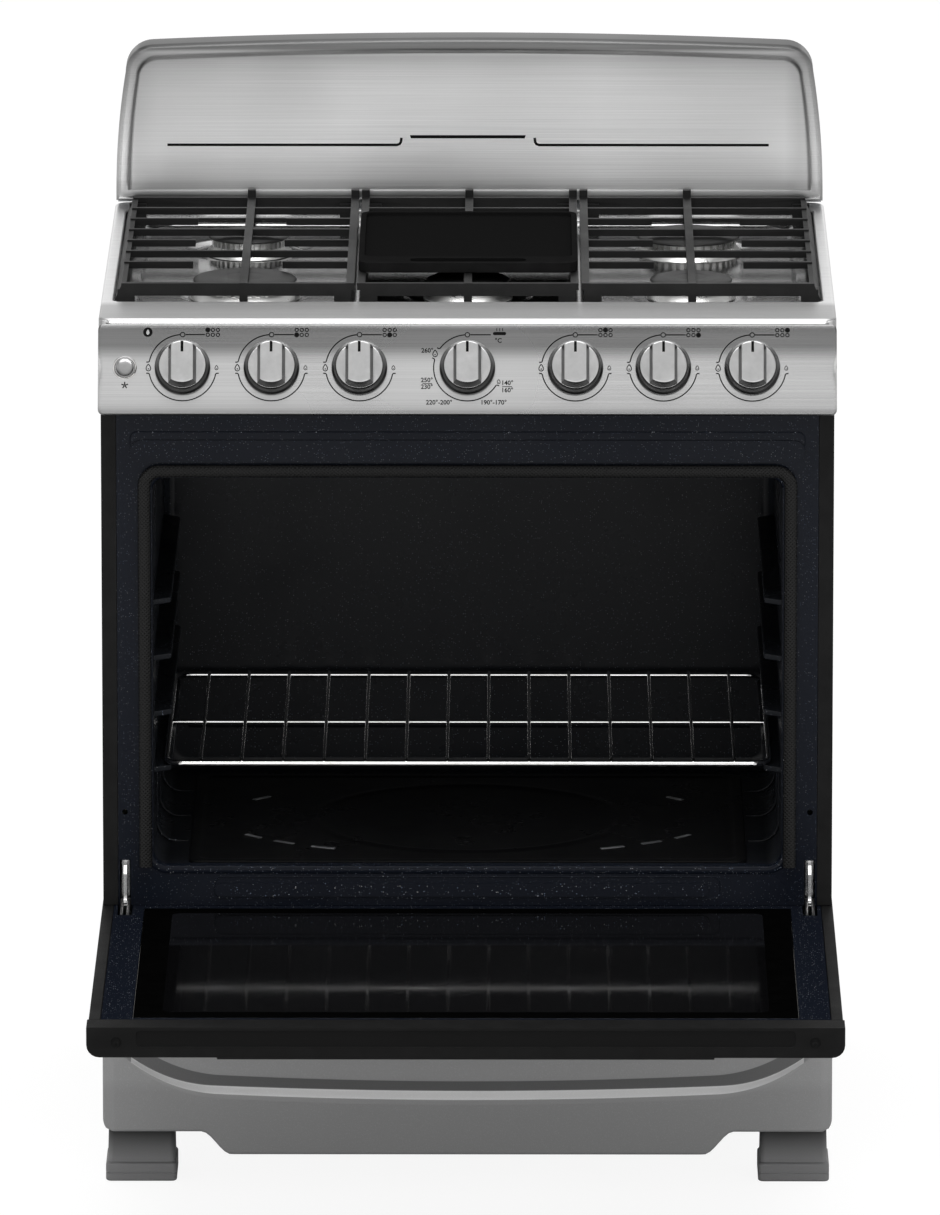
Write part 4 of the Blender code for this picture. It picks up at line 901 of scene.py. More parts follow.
# %% [markdown]
# ## Burners
# A burner head is a cast ring with flame ports cut through its wall, seen from the side as a row of bright
# teeth. A gear-like outline gives the teeth in one go. Below it a flared foot meets the bowl, and above it
# lies a loose enamelled cap, turned from a profile with a low dome.

# %% Burner heads and caps
def ported_wall(radius, base, height, place, ports=36):
    """The ring of teeth between the flame ports."""
    outline = []
    for port in range(ports):
        for share, reach in (
            (0.00, radius), (0.30, radius), (0.34, radius - 0.0042), (0.64, radius - 0.0042),
            (0.66, radius)
        ):
            turn = 2 * pi * (port + share * 1.4) / ports
            outline.append((reach * cos(turn), reach * sin(turn)))
    return slab(outline, (base, base + height), place)


def dress_burner(burner):
    low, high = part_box("burner_head_" + burner)
    cap_low, cap_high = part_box("burner_cap_" + burner)
    radius = (high.x - low.x) / 2
    place = Matrix.Translation(((low.x + high.x) / 2, (low.y + high.y) / 2, 0))
    foot = [
        (radius * 0.5 - 0.001, low.z + 0.002), (radius * 0.5, WELL_Z - 0.0085),
        (radius + 0.0065, WELL_Z - 0.0062), (radius + 0.0060, WELL_Z - 0.0046),
        (radius + 0.0025, WELL_Z - 0.0006), (radius - 0.0010, WELL_Z + 0.0020),
        (radius - 0.0016, WELL_Z + 0.0030), (radius * 0.5, WELL_Z + 0.0034),
    ]
    body = as_object(turned(foot, 72, place), "foot_" + burner)
    ring = as_object(
        ported_wall(radius - 0.0008, WELL_Z + 0.0028, cap_low.z - WELL_Z - 0.0031, place),
        "ports_" + burner
    )
    head = joined([body, ring], f"burner_ring_{burner}")
    finished(head, ALUMINIUM, "cabinet", ["burner_head_" + burner], 32)
    rim = (cap_high.x - cap_low.x) / 2
    thick = cap_high.z - cap_low.z
    top = [
        (rim * 0.3, cap_low.z), (rim - 0.0022, cap_low.z), (rim - 0.0006, cap_low.z + thick * 0.14),
        (rim, cap_low.z + thick * 0.30), (rim - 0.0004, cap_low.z + thick * 0.48),
        (rim - 0.0020, cap_low.z + thick * 0.66), (rim - 0.0060, cap_low.z + thick * 0.84),
        (rim - 0.0120, cap_low.z + thick * 0.97), (rim * 0.66, cap_high.z),
        (rim * 0.45, cap_high.z - 0.0002), (rim * 0.40, cap_high.z - 0.0007),
        (rim * 0.36, cap_high.z - 0.0008),
    ]
    cap = as_object(turned(top, 80, place), f"burner_lid_{burner}")
    finished(cap, CAP_ENAMEL, "cabinet", ["burner_cap_" + burner], 40)


for burner in BURNERS:
    dress_burner(burner)
print("burners:", len(BURNERS))

# %% [markdown]
# ## Grates and griddle
# Grates and griddle are iron castings, so no edge is sharp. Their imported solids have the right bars,
# fingers and legs, and a small bevel on every edge is all the shape they still need. They ride on their own
# bodies, because the cook lifts them off.

# %% Castings
for side in ("left", "center", "right"):
    refined(f"grate_{side}", CAST_IRON, 0.0011, 2, 30)
refined("griddle", GRIDDLE_COAT, 0.0016, 3, 30)
print("castings: three grates and the griddle")

# %% [markdown]
# ## The control panel
# The panel is a long folded steel section with rolled edges all round. Its cross-section is lofted along
# the range, and near each end the section shrinks along a quarter circle, which rolls the ends over in the
# same way as the long edges. The face is flat, and its change of tone from top to bottom is a painted
# reflection in the steel's colour: dark under the cooktop's edge and at the rolled foot, bright between.

# %% Panel frame of reference
panel_low, panel_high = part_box("control_panel")
FACE_FOOT = Vector((0, panel_low.y, panel_low.z + 0.004))
FACE_TOP = Vector((0, top_low.y - 0.003, panel_high.z))
UP_FACE = (FACE_TOP - FACE_FOOT).normalized()
OUT_OF_FACE = Vector((0, -UP_FACE.z, UP_FACE.y))
KNOB_LEVEL = panel_low.z + 0.047


def on_face(x, height, out=0.0):
    """The place and tilt of something that stands on the panel's face."""
    foot = FACE_FOOT + UP_FACE * ((height - FACE_FOOT.z) / UP_FACE.z) + OUT_OF_FACE * out
    return Matrix((
        (1, UP_FACE.x, OUT_OF_FACE.x, x),
        (0, UP_FACE.y, OUT_OF_FACE.y, foot.y),
        (0, UP_FACE.z, OUT_OF_FACE.z, foot.z),
        (0, 0, 0, 1),
    ))


print(
    "panel leans back", round((FACE_TOP.y - FACE_FOOT.y) * 1000), "mm over",
    round((FACE_TOP.z - FACE_FOOT.z) * 1000), "mm"
)

# %% [markdown]
# The panel is one section seen from its end, carried across the width of the range. The section runs from
# the back of the top edge, down the sloping face and round a small roll at the foot. Near each end it
# shrinks in a few steps, so the ends close with a soft corner.

# %% Control panel
PANEL_ROLL = 0.0035


def panel_section():
    """The (y, z) section from the back of the top edge, down the face, to the back of the bottom edge."""
    back = panel_high.y
    section = [
        (FACE_TOP.y + 0.0022, top_low.z + 0.001), (FACE_TOP.y + 0.0022, panel_high.z - 0.0010),
        (FACE_TOP.y + 0.0012, panel_high.z), (FACE_TOP.y - 0.0001, panel_high.z - 0.0008),
    ]
    for step in range(1, 14):
        share = step / 14
        point = FACE_TOP + (FACE_FOOT - FACE_TOP) * share
        section.append((point.y, point.z))
    for turn in (20, 45, 70, 90):
        section.append(
            (
                FACE_FOOT.y + PANEL_ROLL * (1 - cos(radians(turn))),
                FACE_FOOT.z + 0.0010 - PANEL_ROLL * 1.4 * sin(radians(turn))
            )
        )
    return [
        point for point in section if point[1] >= panel_low.z - 0.0001
    ] + [(back, panel_low.z), (back, top_low.z + 0.001)]


def panel_rings():
    section = [Vector(point) for point in panel_section()]
    middle = Vector(((panel_low.y + panel_high.y) / 2, (panel_low.z + panel_high.z) / 2))
    rings = []
    for side in (-1, 1):
        stations = [0, 10, 25, 45, 65, 90]
        for turn in (stations if side < 0 else stations[::-1]):
            inset = 0.0060 * (1 - sin(radians(turn)))
            x = side * (panel_high.x - 0.0060 * (1 - cos(radians(turn))))
            rings.append([(x, *(point + (middle - point).normalized() * inset)) for point in section])
    return rings


fascia = as_object(loft(panel_rings()), "control_fascia")
finished(fascia, PANEL_STEEL, "cabinet", ["control_panel"], 45)
print("control panel:", len(fascia.data.polygons), "faces")

# %% [markdown]
# A knob has a turned skirt, a bright face and a straight grip across it whose ends follow the face's
# circle. Skirt and face are turned. The grip is an outline of two straight sides and two arcs, raised with
# an eased edge, and the pointer is a thin inlaid line near its upper end. Skirt and grip walls are dark by
# painted shade, strongest where they face down. All of it stands along the panel's tilt and rides on the
# knob's own body.

# %% Knobs
KNOBS = [name for name in sorted(frame["nodes"]) if name.startswith("knob_")]
SKIRT = 0.0286
FACE = 0.0244
FACE_LEVEL = 0.0143
GRIP_HALF = 0.0112
GRIP_REACH = 0.0216
GRIP_SHIFT = 0.0014
GRIP_TOP = 0.0268


def grip_outline(radius, half):
    """Two straight sides closed by two arcs."""
    edge = sqrt(radius**2 - half**2)
    steps = [half * (1 - step / 5) for step in range(11)]
    upper = [(x, sqrt(radius**2 - x**2)) for x in steps]
    sides = [edge * (1 - 2 * step / 6) for step in range(1, 6)]
    left = [(-half, y) for y in sides]
    return upper + left + [(-x, -y) for x, y in upper] + [(half, -y) for y in sides]


def grip_ring(place, height, radius, half, shift=0.0):
    return [place @ Vector((x, y + shift, height)) for x, y in grip_outline(radius, half)]


def knob_centre(node):
    low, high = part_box(node)
    return (low.x + high.x) / 2


def dress_knob(node):
    place = on_face(knob_centre(node), KNOB_LEVEL)
    body = body_of(node)
    skirt = [
        (0.006, 0.0012), (SKIRT - 0.0006, 0.0012), (SKIRT, 0.0018), (SKIRT, 0.0034),
        (SKIRT - 0.0006, 0.0046), (SKIRT - 0.0014, 0.0056), (SKIRT - 0.0020, 0.0060),
        (FACE + 0.0008, 0.0116), (FACE + 0.0003, 0.0130), (FACE - 0.0004, FACE_LEVEL - 0.0003),
        (0.010, 0.0128),
    ]
    shell = as_object(turned(skirt, 80, place), node + "_base")
    walls = [
        (0.0110, 0.0240, GRIP_HALF + 0.0034), (FACE_LEVEL + 0.0010, 0.0236, GRIP_HALF + 0.0030),
        (GRIP_TOP - 0.0008, GRIP_REACH, GRIP_HALF + 0.0002, GRIP_SHIFT),
    ]
    grip = as_object(loft([grip_ring(place, *wall) for wall in walls]), node + "_walls")
    finished(joined([shell, grip], node + "_skirt"), SHADED_SKIRT_STEEL, body, [node], 38)
    dish = [
        (0.0080, 0.0126), (FACE - 0.0010, 0.0130), (FACE - 0.0006, FACE_LEVEL),
        (FACE - 0.0014, FACE_LEVEL + 0.0004), (FACE - 0.0028, FACE_LEVEL + 0.0002),
        (FACE - 0.0070, FACE_LEVEL - 0.0004), (FACE - 0.0100, FACE_LEVEL - 0.0002),
        (0.0110, FACE_LEVEL + 0.0002),
    ]
    face = as_object(turned(dish, 80, place), node + "_dish")
    steps = [(-0.0010, 0.0, 0.0), (-0.0004, 0.0, 0.0), (0.0, 0.0004, 0.0004), (0.0002, 0.0012, 0.0012)]
    cap = as_object(
        loft(
            [
                grip_ring(place, GRIP_TOP + rise, GRIP_REACH - a, GRIP_HALF - b, GRIP_SHIFT) for rise, a,
                b in steps
            ]
        ),
        node + "_top"
    )
    finished(joined([face, cap], node + "_face"), KNOB_STEEL, body, (), 38)
    line = [(-0.0014, 0.0115), (0.0014, 0.0115), (0.0014, 0.0226), (-0.0014, 0.0226)]
    mark = as_object(slab(line, (GRIP_TOP - 0.0004, GRIP_TOP + 0.0004), place), node + "_pointer")
    finished(mark, INK, body)


for node in KNOBS:
    dress_knob(node)
print("knobs:", len(KNOBS))

# %% [markdown]
# The spark button is a small satin disc with a dished face inside a raised bright ring. Ring and button are
# separate turned pieces, because the button is pressed and the ring stays on the panel.

# %% Spark button and its ring
button_low, button_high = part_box("ignition_button")
BUTTON_X = (button_low.x + button_high.x) / 2
BUTTON_RADIUS = (button_high.x - button_low.x) / 2
button_place = on_face(BUTTON_X, KNOB_LEVEL)
profile = [
    (0.0030, -0.0095), (BUTTON_RADIUS - 0.0004, -0.0095), (BUTTON_RADIUS - 0.0004, 0.0024),
    (BUTTON_RADIUS - 0.0008, 0.0034), (BUTTON_RADIUS - 0.0016, 0.0040),
    (BUTTON_RADIUS - 0.0030, 0.0044), (BUTTON_RADIUS * 0.55, 0.0046), (BUTTON_RADIUS * 0.2, 0.0047),
]
button = as_object(turned(profile, 56, button_place), "spark_button")
finished(button, SHADED_BUTTON_STEEL, body_of("ignition_button"), ["ignition_button"])
profile = [
    (BUTTON_RADIUS + 0.0007, -0.0002), (BUTTON_RADIUS + 0.0028, -0.0002),
    (BUTTON_RADIUS + 0.0027, 0.0008), (BUTTON_RADIUS + 0.0018, 0.0016),
    (BUTTON_RADIUS + 0.0010, 0.0015), (BUTTON_RADIUS + 0.0004, 0.0006),
]
rings = [
    [button_place @ Vector((r * x, r * y, z)) for x, y in arc((0, 0), 1, 0, 360, 56)[:-1]]
    for r, z in profile + profile[:1]
]
ring = loft(rings, (False, False))
bmesh.ops.remove_doubles(ring, verts=ring.verts, dist=0.00001)
finished(as_object(ring, "spark_button_ring"), CHROME, "cabinet")
print("button across:", round(BUTTON_RADIUS * 2000, 1), "mm")

# %% [markdown]
# ## Printed marks
# The scale round each knob is screen printed in dark ink. Ink has almost no thickness, but a real print is
# still a shape with edges, so each line is a strip a tenth of a millimetre high on the sloping face. The
# marks are an open arc with two hooked gaps, a flame at each gap, and a small map of the six burners with
# the knob's own burner filled in.

# %% Ink shapes
INK_HEIGHT = (0.00002, 0.00012)
SCALE_RADIUS = 0.0347
LINE = 0.0012


def inked(outline, place, name="ink"):
    return as_object(slab(outline, INK_HEIGHT, place), name)


def ink_line(path, place, width=LINE):
    return as_object(strip(path, width, INK_HEIGHT[1], place), "ink_line")


def ink_ring(centre, radius, place, width=LINE * 0.8):
    """A thin open circle."""
    rings = []
    for reach, height in (
        (radius - width, 0), (radius, 0), (radius, INK_HEIGHT[1]), (radius - width, INK_HEIGHT[1]),
        (radius - width, 0)
    ):
        rings.append([place @ Vector((x, y, height)) for x, y in arc(centre, reach, 0, 360, 20)[:-1]])
    mesh = loft(rings, (False, False))
    bmesh.ops.remove_doubles(mesh, verts=mesh.verts, dist=0.000005)
    return as_object(mesh, "ink_ring")


def ink_dot(centre, radius, place):
    return inked(arc(centre, radius, 0, 360, 18)[:-1], place)


def ink_flame(centre, height, place, width=LINE * 0.8):
    """A drop with a pointed tip, drawn as a line that closes on itself."""
    half = height * 0.32
    curve = [(0.0, 0.52), (0.18, 0.30), (0.30, 0.05), (0.33, -0.18), (0.24, -0.38), (0.0, -0.48)]
    right = [(centre[0] + a * height, centre[1] + b * height) for a, b in curve]
    left = [(centre[0] - a * height, centre[1] + b * height) for a, b in curve[::-1][1:]]
    drop = ink_line(right + left, place, width)
    return [drop, ink_dot((centre[0], centre[1] - half * 0.55), half * 0.30, place)]


def ink_scale(place, start, end):
    """The arc from one angle to another, with a small outward hook at each end that isn't near the top."""
    path = arc((0, 0), SCALE_RADIUS, start, end, 28)
    for index, turn, sign in ((0, start, -1), (-1, end, 1)):
        if 80 < turn % 360 < 100:
            continue
        step = radians(turn + sign * 1.5)
        tip = [(SCALE_RADIUS + reach) for reach in (0.0008, 0.0030)]
        hook = [
            (tip[0] * cos(step), tip[0] * sin(step)),
            (tip[1] * cos(step + sign * 0.01), tip[1] * sin(step + sign * 0.01))
        ]
        path = hook[::-1] + path if index == 0 else path + hook
    return ink_line(path, place)


print("ink shapes are ready")

# %% [markdown]
# Each burner knob gets the same ring of marks, so one function draws it: two arcs, a tall and a low
# flame, a small ring at the top and a map of the six burners. Only the filled dot of the map changes from
# knob to knob, and BURNER_MAP says where it goes.

# %% Burner knob scales
BURNER_MAP = {
    "rear_left": (0, 1), "rear_center": (1, 1), "rear_right": (2, 1),
    "front_left": (0, 0), "front_center": (1, 0), "front_right": (2, 0),
}
MAP_PITCH = 0.0052
marks = []


def burner_scale(node):
    place = on_face(knob_centre(node), KNOB_LEVEL)
    made = [ink_scale(place, 94, 169), ink_scale(place, 191, 349)]
    made += ink_flame((-SCALE_RADIUS - 0.0004, 0), 0.0072, place)
    made += ink_flame((SCALE_RADIUS + 0.0002, 0), 0.0048, place, LINE * 0.6)
    made.append(ink_ring((0, SCALE_RADIUS), 0.0028, place))
    made.append(ink_line([(0.0030, SCALE_RADIUS), (0.0228, SCALE_RADIUS)], place))
    for column in range(3):
        for row in range(2):
            centre = (0.0258 + column * MAP_PITCH, 0.0345 + row * MAP_PITCH)
            filled = BURNER_MAP[node.removeprefix("knob_")] == (column, row)
            made.append(ink_dot(centre, 0.0026, place) if filled else ink_ring(centre, 0.0022, place))
    return made


for node in KNOBS:
    if node != "knob_oven":
        marks += burner_scale(node)
print("marks so far:", len(marks))

# %% [markdown]
# The oven knob's scale carries temperatures. Blender's own font is enough for small numbers: each label is
# a text object turned into a mesh and stood on the face like the other ink. A pan-shaped mark shows the
# broiler, a disc with a flame stands by the first knob, and a star sits under the spark button.

# %% Numbers and signs
def ink_text(words, centre, size, place):
    """A short label as a thin mesh."""
    curve = bpy.data.curves.new("label", "FONT")
    curve.body = words
    curve.size = size
    curve.align_x = "CENTER"
    curve.align_y = "CENTER"
    curve.extrude = INK_HEIGHT[1] / 2
    curve.offset = size * 0.022
    curve.resolution_u = 3
    label = bpy.data.objects.new("label", curve)
    bpy.context.scene.collection.objects.link(label)
    label.matrix_world = place @ Matrix.Translation((*centre, INK_HEIGHT[1] / 2))
    bpy.context.view_layer.update()
    mesh = bmesh.new()
    mesh.from_mesh(
        bpy.data.meshes.new_from_object(label.evaluated_get(bpy.context.evaluated_depsgraph_get()))
    )
    bmesh.ops.transform(mesh, matrix=label.matrix_world, verts=mesh.verts)
    bmesh.ops.remove_doubles(mesh, verts=mesh.verts, dist=0.000002)
    bpy.data.objects.remove(label, do_unlink=True)
    return as_object(mesh, "label")


oven_place = on_face(knob_centre("knob_oven"), KNOB_LEVEL)
marks += [ink_scale(oven_place, 94, 144), ink_scale(oven_place, 166, 328)]
marks += ink_flame((-0.0332, 0.0150), 0.0072, oven_place, LINE * 0.8)
marks += ink_flame((0.0322, -0.0145), 0.0046, oven_place, LINE * 0.6)
LABELS = (
    ("260°", -0.0412, 0.0180), ("250°", -0.0416, -0.0130), ("230°", -0.0416, -0.0201), (
        "220°-200°", -0.0290, -0.0364
    ),
    (
        "190°-170°", 0.0270, -0.0364
    ), ("140°", 0.0410, -0.0159), ("160°", 0.0410, -0.0235), ("°C", 0.0318, 0.0285),
)
for words, x, y in LABELS:
    marks.append(ink_text(words, (x, y), 0.0066, oven_place))
for x, y in ((-0.0412, -0.0166), (0.0408, -0.0197)):
    marks.append(ink_line([(x - 0.0050, y), (x + 0.0050, y)], oven_place, LINE * 0.6))
marks.append(ink_ring((0, SCALE_RADIUS), 0.0028, oven_place))
marks.append(ink_line([(0.0030, SCALE_RADIUS), (0.0240, SCALE_RADIUS)], oven_place))
broiler = rounded((0.0262, 0.0398), (0.0343, 0.0377), 0.0016, 3)
marks.append(inked(broiler, oven_place))
for column in range(3):
    x = 0.0298 + column * 0.0030
    marks.append(
        ink_line(
            [(x, 0.0386), (x + 0.0007, 0.0396), (x, 0.0406), (x + 0.0007, 0.0416)], oven_place, LINE * 0.6
        )
    )
print("marks with the oven scale:", len(marks))

# %% [markdown]
# A dark disc with a pale flame stands beside the first knob, and a five-armed star marks the spark
# button. All the ink is then joined into one piece, because a print is one layer on the sheet.

# %% Signs by the first knob
first_place = on_face(knob_centre("knob_rear_left"), KNOB_LEVEL)
disc_centre = Vector((-0.0358, 0.0372))
marks.append(ink_dot(disc_centre, 0.0049, first_place))
flame = [(0.0, 0.0030), (0.0013, 0.0010), (0.0017, -0.0008), (0.0009, -0.0024), (0.0, -0.0027)]
flame += [(-x, y) for x, y in flame[-2:0:-1]]
outline = [(disc_centre.x + x, disc_centre.y + y) for x, y in flame]
sign = as_object(slab(outline, (0.00010, 0.00018), first_place), "flame_sign")
finished(sign, STEEL, "cabinet")
for step in range(5):
    turn = radians(90 + 72 * step)
    star = [
        (0.0003 * cos(turn), -0.0185 + 0.0003 * sin(turn)),
        (0.0036 * cos(turn), -0.0185 + 0.0036 * sin(turn))
    ]
    marks.append(ink_line(star, button_place, LINE))
panel_print = joined(marks, "panel_print")
finished(panel_print, INK, "cabinet")
print("panel print:", len(panel_print.data.polygons), "faces")

# %% [markdown]
# ## The oven's face and cavity
# The front frame and the oven box are enamelled pressings. The front frame's imported solid carries every
# slot and bead, so a bevel is enough to make enamel catch the light along each fold; the oven box is lofted
# further on. The mouth itself has round corners, which a separate pressed lip brings: a loft of rounded
# rectangles that turns from the face into the oven.

# %% Front frame and mouth lip
frame_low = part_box("front_frame")[0]
liner_low, liner_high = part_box("oven_liner")
refined("front_frame", SPECKLED, 0.0010, 3, 30)
gasket_low, gasket_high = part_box("oven_gasket")
MOUTH_X = (gasket_low.x + 0.0144, gasket_high.x - 0.0144)
MOUTH_Z = (gasket_low.z, gasket_high.z - 0.0144)
FACE_Y = frame_low.y + 0.0024


def mouth_ring(outset, depth, radius):
    x = (MOUTH_X[0] - outset, MOUTH_X[1] + outset)
    z = (MOUTH_Z[0] - outset, MOUTH_Z[1] + outset)
    return [(a, FACE_Y + depth, b) for a, b in rounded(x, z, radius, 8)]


lip_steps = [
    (0.0085, 0.0002, 0.024), (0.0080, -0.0006, 0.024), (0.0065, -0.0012, 0.022),
    (0.0040, -0.0014, 0.020), (0.0018, -0.0010, 0.018), (0.0004, 0.0002, 0.016),
    (-0.0004, 0.0022, 0.015), (-0.0006, 0.0110, 0.015), (0.0006, 0.0110, 0.016),
    (0.0012, 0.0020, 0.018), (0.0040, 0.0002, 0.020),
]
lip_mesh = loft([mouth_ring(*step) for step in lip_steps + lip_steps[:1]], (False, False))
bmesh.ops.remove_doubles(lip_mesh, verts=lip_mesh.verts, dist=0.00001)
lip = as_object(lip_mesh, "oven_mouth_lip")
finished(lip, SPECKLED, "cabinet")
print("oven mouth:", round(MOUTH_X[1] - MOUTH_X[0], 3), "by", round(MOUTH_Z[1] - MOUTH_Z[0], 3), "m")

# %% [markdown]
# The seal is a woven sleeve that runs up one side of the mouth, across the top and down the other. Its path
# is an open line with round corners, and a flattened D-shaped section is carried along it. The strands come
# from the material, because each is finer than half a millimetre.

# %% Seal
seal_x = (gasket_low.x + 0.0070, gasket_high.x - 0.0070)
seal_top = gasket_high.z - 0.0070
SEAL_BEND = 0.016
path = [(seal_x[0], gasket_low.z + (seal_top - SEAL_BEND - gasket_low.z) * step / 30) for step in range(31)]
path += arc((seal_x[0] + SEAL_BEND, seal_top - SEAL_BEND), SEAL_BEND, 180, 90, 10)[1:]
path += [
    (
        seal_x[0] + SEAL_BEND + (seal_x[1] - seal_x[0] - 2 * SEAL_BEND) * step / 40, seal_top
    ) for step in range(1, 41)
]
path += arc((seal_x[1] - SEAL_BEND, seal_top - SEAL_BEND), SEAL_BEND, 90, 0, 10)[1:]
path += [
    (
        seal_x[1], seal_top - SEAL_BEND - (seal_top - SEAL_BEND - gasket_low.z) * step / 30
    ) for step in range(1, 31)
]
seal_middle = (gasket_low.y + gasket_high.y) / 2
seal_deep = (gasket_high.y - gasket_low.y) / 2 - 0.0001
rings = []
for index, point in enumerate(path):
    before, after = Vector(path[max(index - 1, 0)]), Vector(path[min(index + 1, len(path) - 1)])
    along = (after - before).normalized()
    side = Vector((-along.y, along.x))
    ring = []
    for turn in range(0, 360, 24):
        across = side * 0.0066 * cos(radians(turn))
        ring.append((point[0] + across.x, seal_middle - seal_deep * sin(radians(turn)), point[1] + across.y))
    rings.append(ring)
seal = as_object(loft(rings), "oven_seal")
finished(seal, SEAL, "cabinet", ["oven_gasket"], 60)
print("seal length:", round(sum((Vector(a) - Vector(b)).length for a, b in zip(path, path[1:])), 2), "m")

# %% [markdown]
# ## The oven floor and rack
# The oven box is one deep-drawn shell, so it is a loft as well: round the back bend, out over the front
# edge and in again to the back wall. Pressed ribs along both sides carry the rack.

# %% Oven box
RIB_FACE = 0.307
RIB_HALF = 0.0028
RIB_PITCH = 0.0593
rack_low, rack_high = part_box("oven_rack")


def liner_ring(inset, depth, radius):
    x = (liner_low.x + inset, liner_high.x - inset)
    z = (liner_low.z + inset, liner_high.z - inset)
    return [(a, liner_low.y + depth, b) for a, b in rounded(x, z, radius, 8)]


liner_deep = liner_high.y - liner_low.y
OUTER_BEND = 0.013
INNER_BEND = 0.012
stages = []
for turn in (90, 60, 30, 0):
    bend = radians(turn)
    stages.append((OUTER_BEND * (1 - cos(bend)), liner_deep - OUTER_BEND * (1 - sin(bend)), 0.014))
stages += [(0.0, 0.0006, 0.014), (0.0004, 0.0, 0.014), (0.0010, 0.0, 0.015), (0.0014, 0.0008, 0.015)]
for turn in (0, 22, 45, 67, 90):
    bend = radians(turn)
    stages.append(
        (0.0014 + INNER_BEND * (1 - cos(bend)), liner_deep - 0.0014 - INNER_BEND * (1 - sin(bend)), 0.015)
    )
box_shell = as_object(loft([liner_ring(*stage) for stage in stages]), "oven_box_shell")
ribs = []
for side in (-1, 1):
    for level in range(4):
        middle = rack_low.z - 0.0003 - RIB_HALF + RIB_PITCH * level
        outer = liner_high.x - 0.0008
        lead = 0.012
        deep = [
            (liner_low.y + 0.016, outer), (liner_low.y + 0.016 + lead, RIB_FACE + 0.0010),
            (liner_low.y + 0.020 + lead, RIB_FACE), (liner_high.y - 0.020 - lead, RIB_FACE),
            (liner_high.y - 0.016 - lead, RIB_FACE + 0.0010), (liner_high.y - 0.016, outer),
        ]
        rings = []
        for rise, back in (
            (-1.0, 1.0), (-0.94, 0.35), (-0.75, 0.08), (-0.4, 0.0), (0.4, 0.0), (0.75, 0.08),
            (0.94, 0.35), (1.0, 1.0)
        ):
            ring = [(side * min(outer, x + back * 0.0020), y, middle + rise * RIB_HALF) for y, x in deep]
            rings.append(ring)
        ribs.append(as_object(loft(rings), f"rib_{side}_{level}"))
finished(
    joined([box_shell, *ribs], "oven_box"), OVEN_ENAMEL_LIT_SIDES, "cabinet", ["oven_liner"], 40
)
print("oven box:", round(liner_deep, 3), "m deep, with", len(ribs), "rack ribs")

# %% [markdown]
# The loose floor plate is a black stamping with a rolled rim and a round dished field. A few curved slots
# follow the dish near each side, and the zinc of the sheet below shows through them as bright bits. Here
# each slot is a thin zinc sliver that lies flush in the plate.

# %% Oven floor
floor_low, floor_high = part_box("oven_floor")
floor_middle = Vector(((floor_low.x + floor_high.x) / 2, (floor_low.y + floor_high.y) / 2))


def plate_ring(inset, height, radius=0.012):
    x = (floor_low.x + inset, floor_high.x - inset)
    y = (floor_low.y + inset, floor_high.y - inset)
    return [(a, b, height) for a, b in rounded(x, y, radius, 9)]


plate_top = floor_high.z
plate = [
    plate_ring(0.0006, floor_low.z), plate_ring(0.0, floor_low.z + 0.0006),
    plate_ring(0.0, plate_top - 0.0012), plate_ring(0.0004, plate_top - 0.0004),
    plate_ring(0.0014, plate_top), plate_ring(0.0090, plate_top),
    plate_ring(0.0110, plate_top - 0.0004), plate_ring(0.0130, plate_top - 0.0011),
    plate_ring(0.0160, plate_top - 0.0013),
]
# each ring of the round dish: how far it reaches, and how deep it lies below the plate's face
DISH_RINGS = (
    (0.165, 0.0013), (0.160, 0.0012), (0.156, 0.0004), (0.152, 0.0), (0.148, 0.0002),
    (0.142, 0.0018), (0.060, 0.0020),
)
for reach, height in DISH_RINGS:
    turns = [pi * step / 20 for step in range(40)]
    ring = [
        (
            floor_middle.x + reach * 1.06 * cos(turn), floor_middle.y + reach * sin(turn),
            plate_top - height
        ) for turn in turns
    ]
    plate.append(ring)
finished(
    as_object(loft(plate), "oven_floor_plate"), BLACK_ENAMEL, "cabinet", ["oven_floor"],
    40
)
slots = []
for side in (-1, 1):
    for start in (-58, -46, -34, 30):
        turns = [radians(start + step * 1.6) for step in range(5)]
        points = [
            (floor_middle.x + side * 0.262 * cos(turn), floor_middle.y + 0.165 * sin(turn)) for turn in turns
        ]
        place = Matrix.Translation((0, 0, plate_top - 0.0013))
        slots.append(as_object(strip(points, 0.0050, 0.0004, place), f"slot_{side}_{start}"))
finished(joined(slots, "oven_floor_slots"), GALVANISED, "cabinet")
print("oven floor:", round(floor_high.x - floor_low.x, 3), "m wide, with", len(slots), "slots")

# %% [markdown]
# The rack is round chromed wire, so it is drawn as wire: a path is carried into a tube for the frame, the
# cross wire and each long wire. The ends of the long wires are bent down over the frame as welded racks
# are.

# %% Oven rack
def wire_piece(path, radius, closed=False, name="wire"):
    """A round wire along a path, as a mesh."""
    curve = bpy.data.curves.new(name, "CURVE")
    curve.dimensions = "3D"
    curve.bevel_depth = radius
    curve.bevel_resolution = 3
    curve.use_fill_caps = not closed
    line = curve.splines.new("POLY")
    line.points.add(len(path) - 1)
    for point, place in zip(line.points, path):
        point.co = (*place, 1.0)
    line.use_cyclic_u = closed
    guide = bpy.data.objects.new(name, curve)
    bpy.context.scene.collection.objects.link(guide)
    bpy.context.view_layer.update()
    mesh = bmesh.new()
    mesh.from_mesh(
        bpy.data.meshes.new_from_object(guide.evaluated_get(bpy.context.evaluated_depsgraph_get()))
    )
    bmesh.ops.remove_doubles(mesh, verts=mesh.verts, dist=0.00001)
    bpy.data.objects.remove(guide, do_unlink=True)
    return as_object(mesh, name)


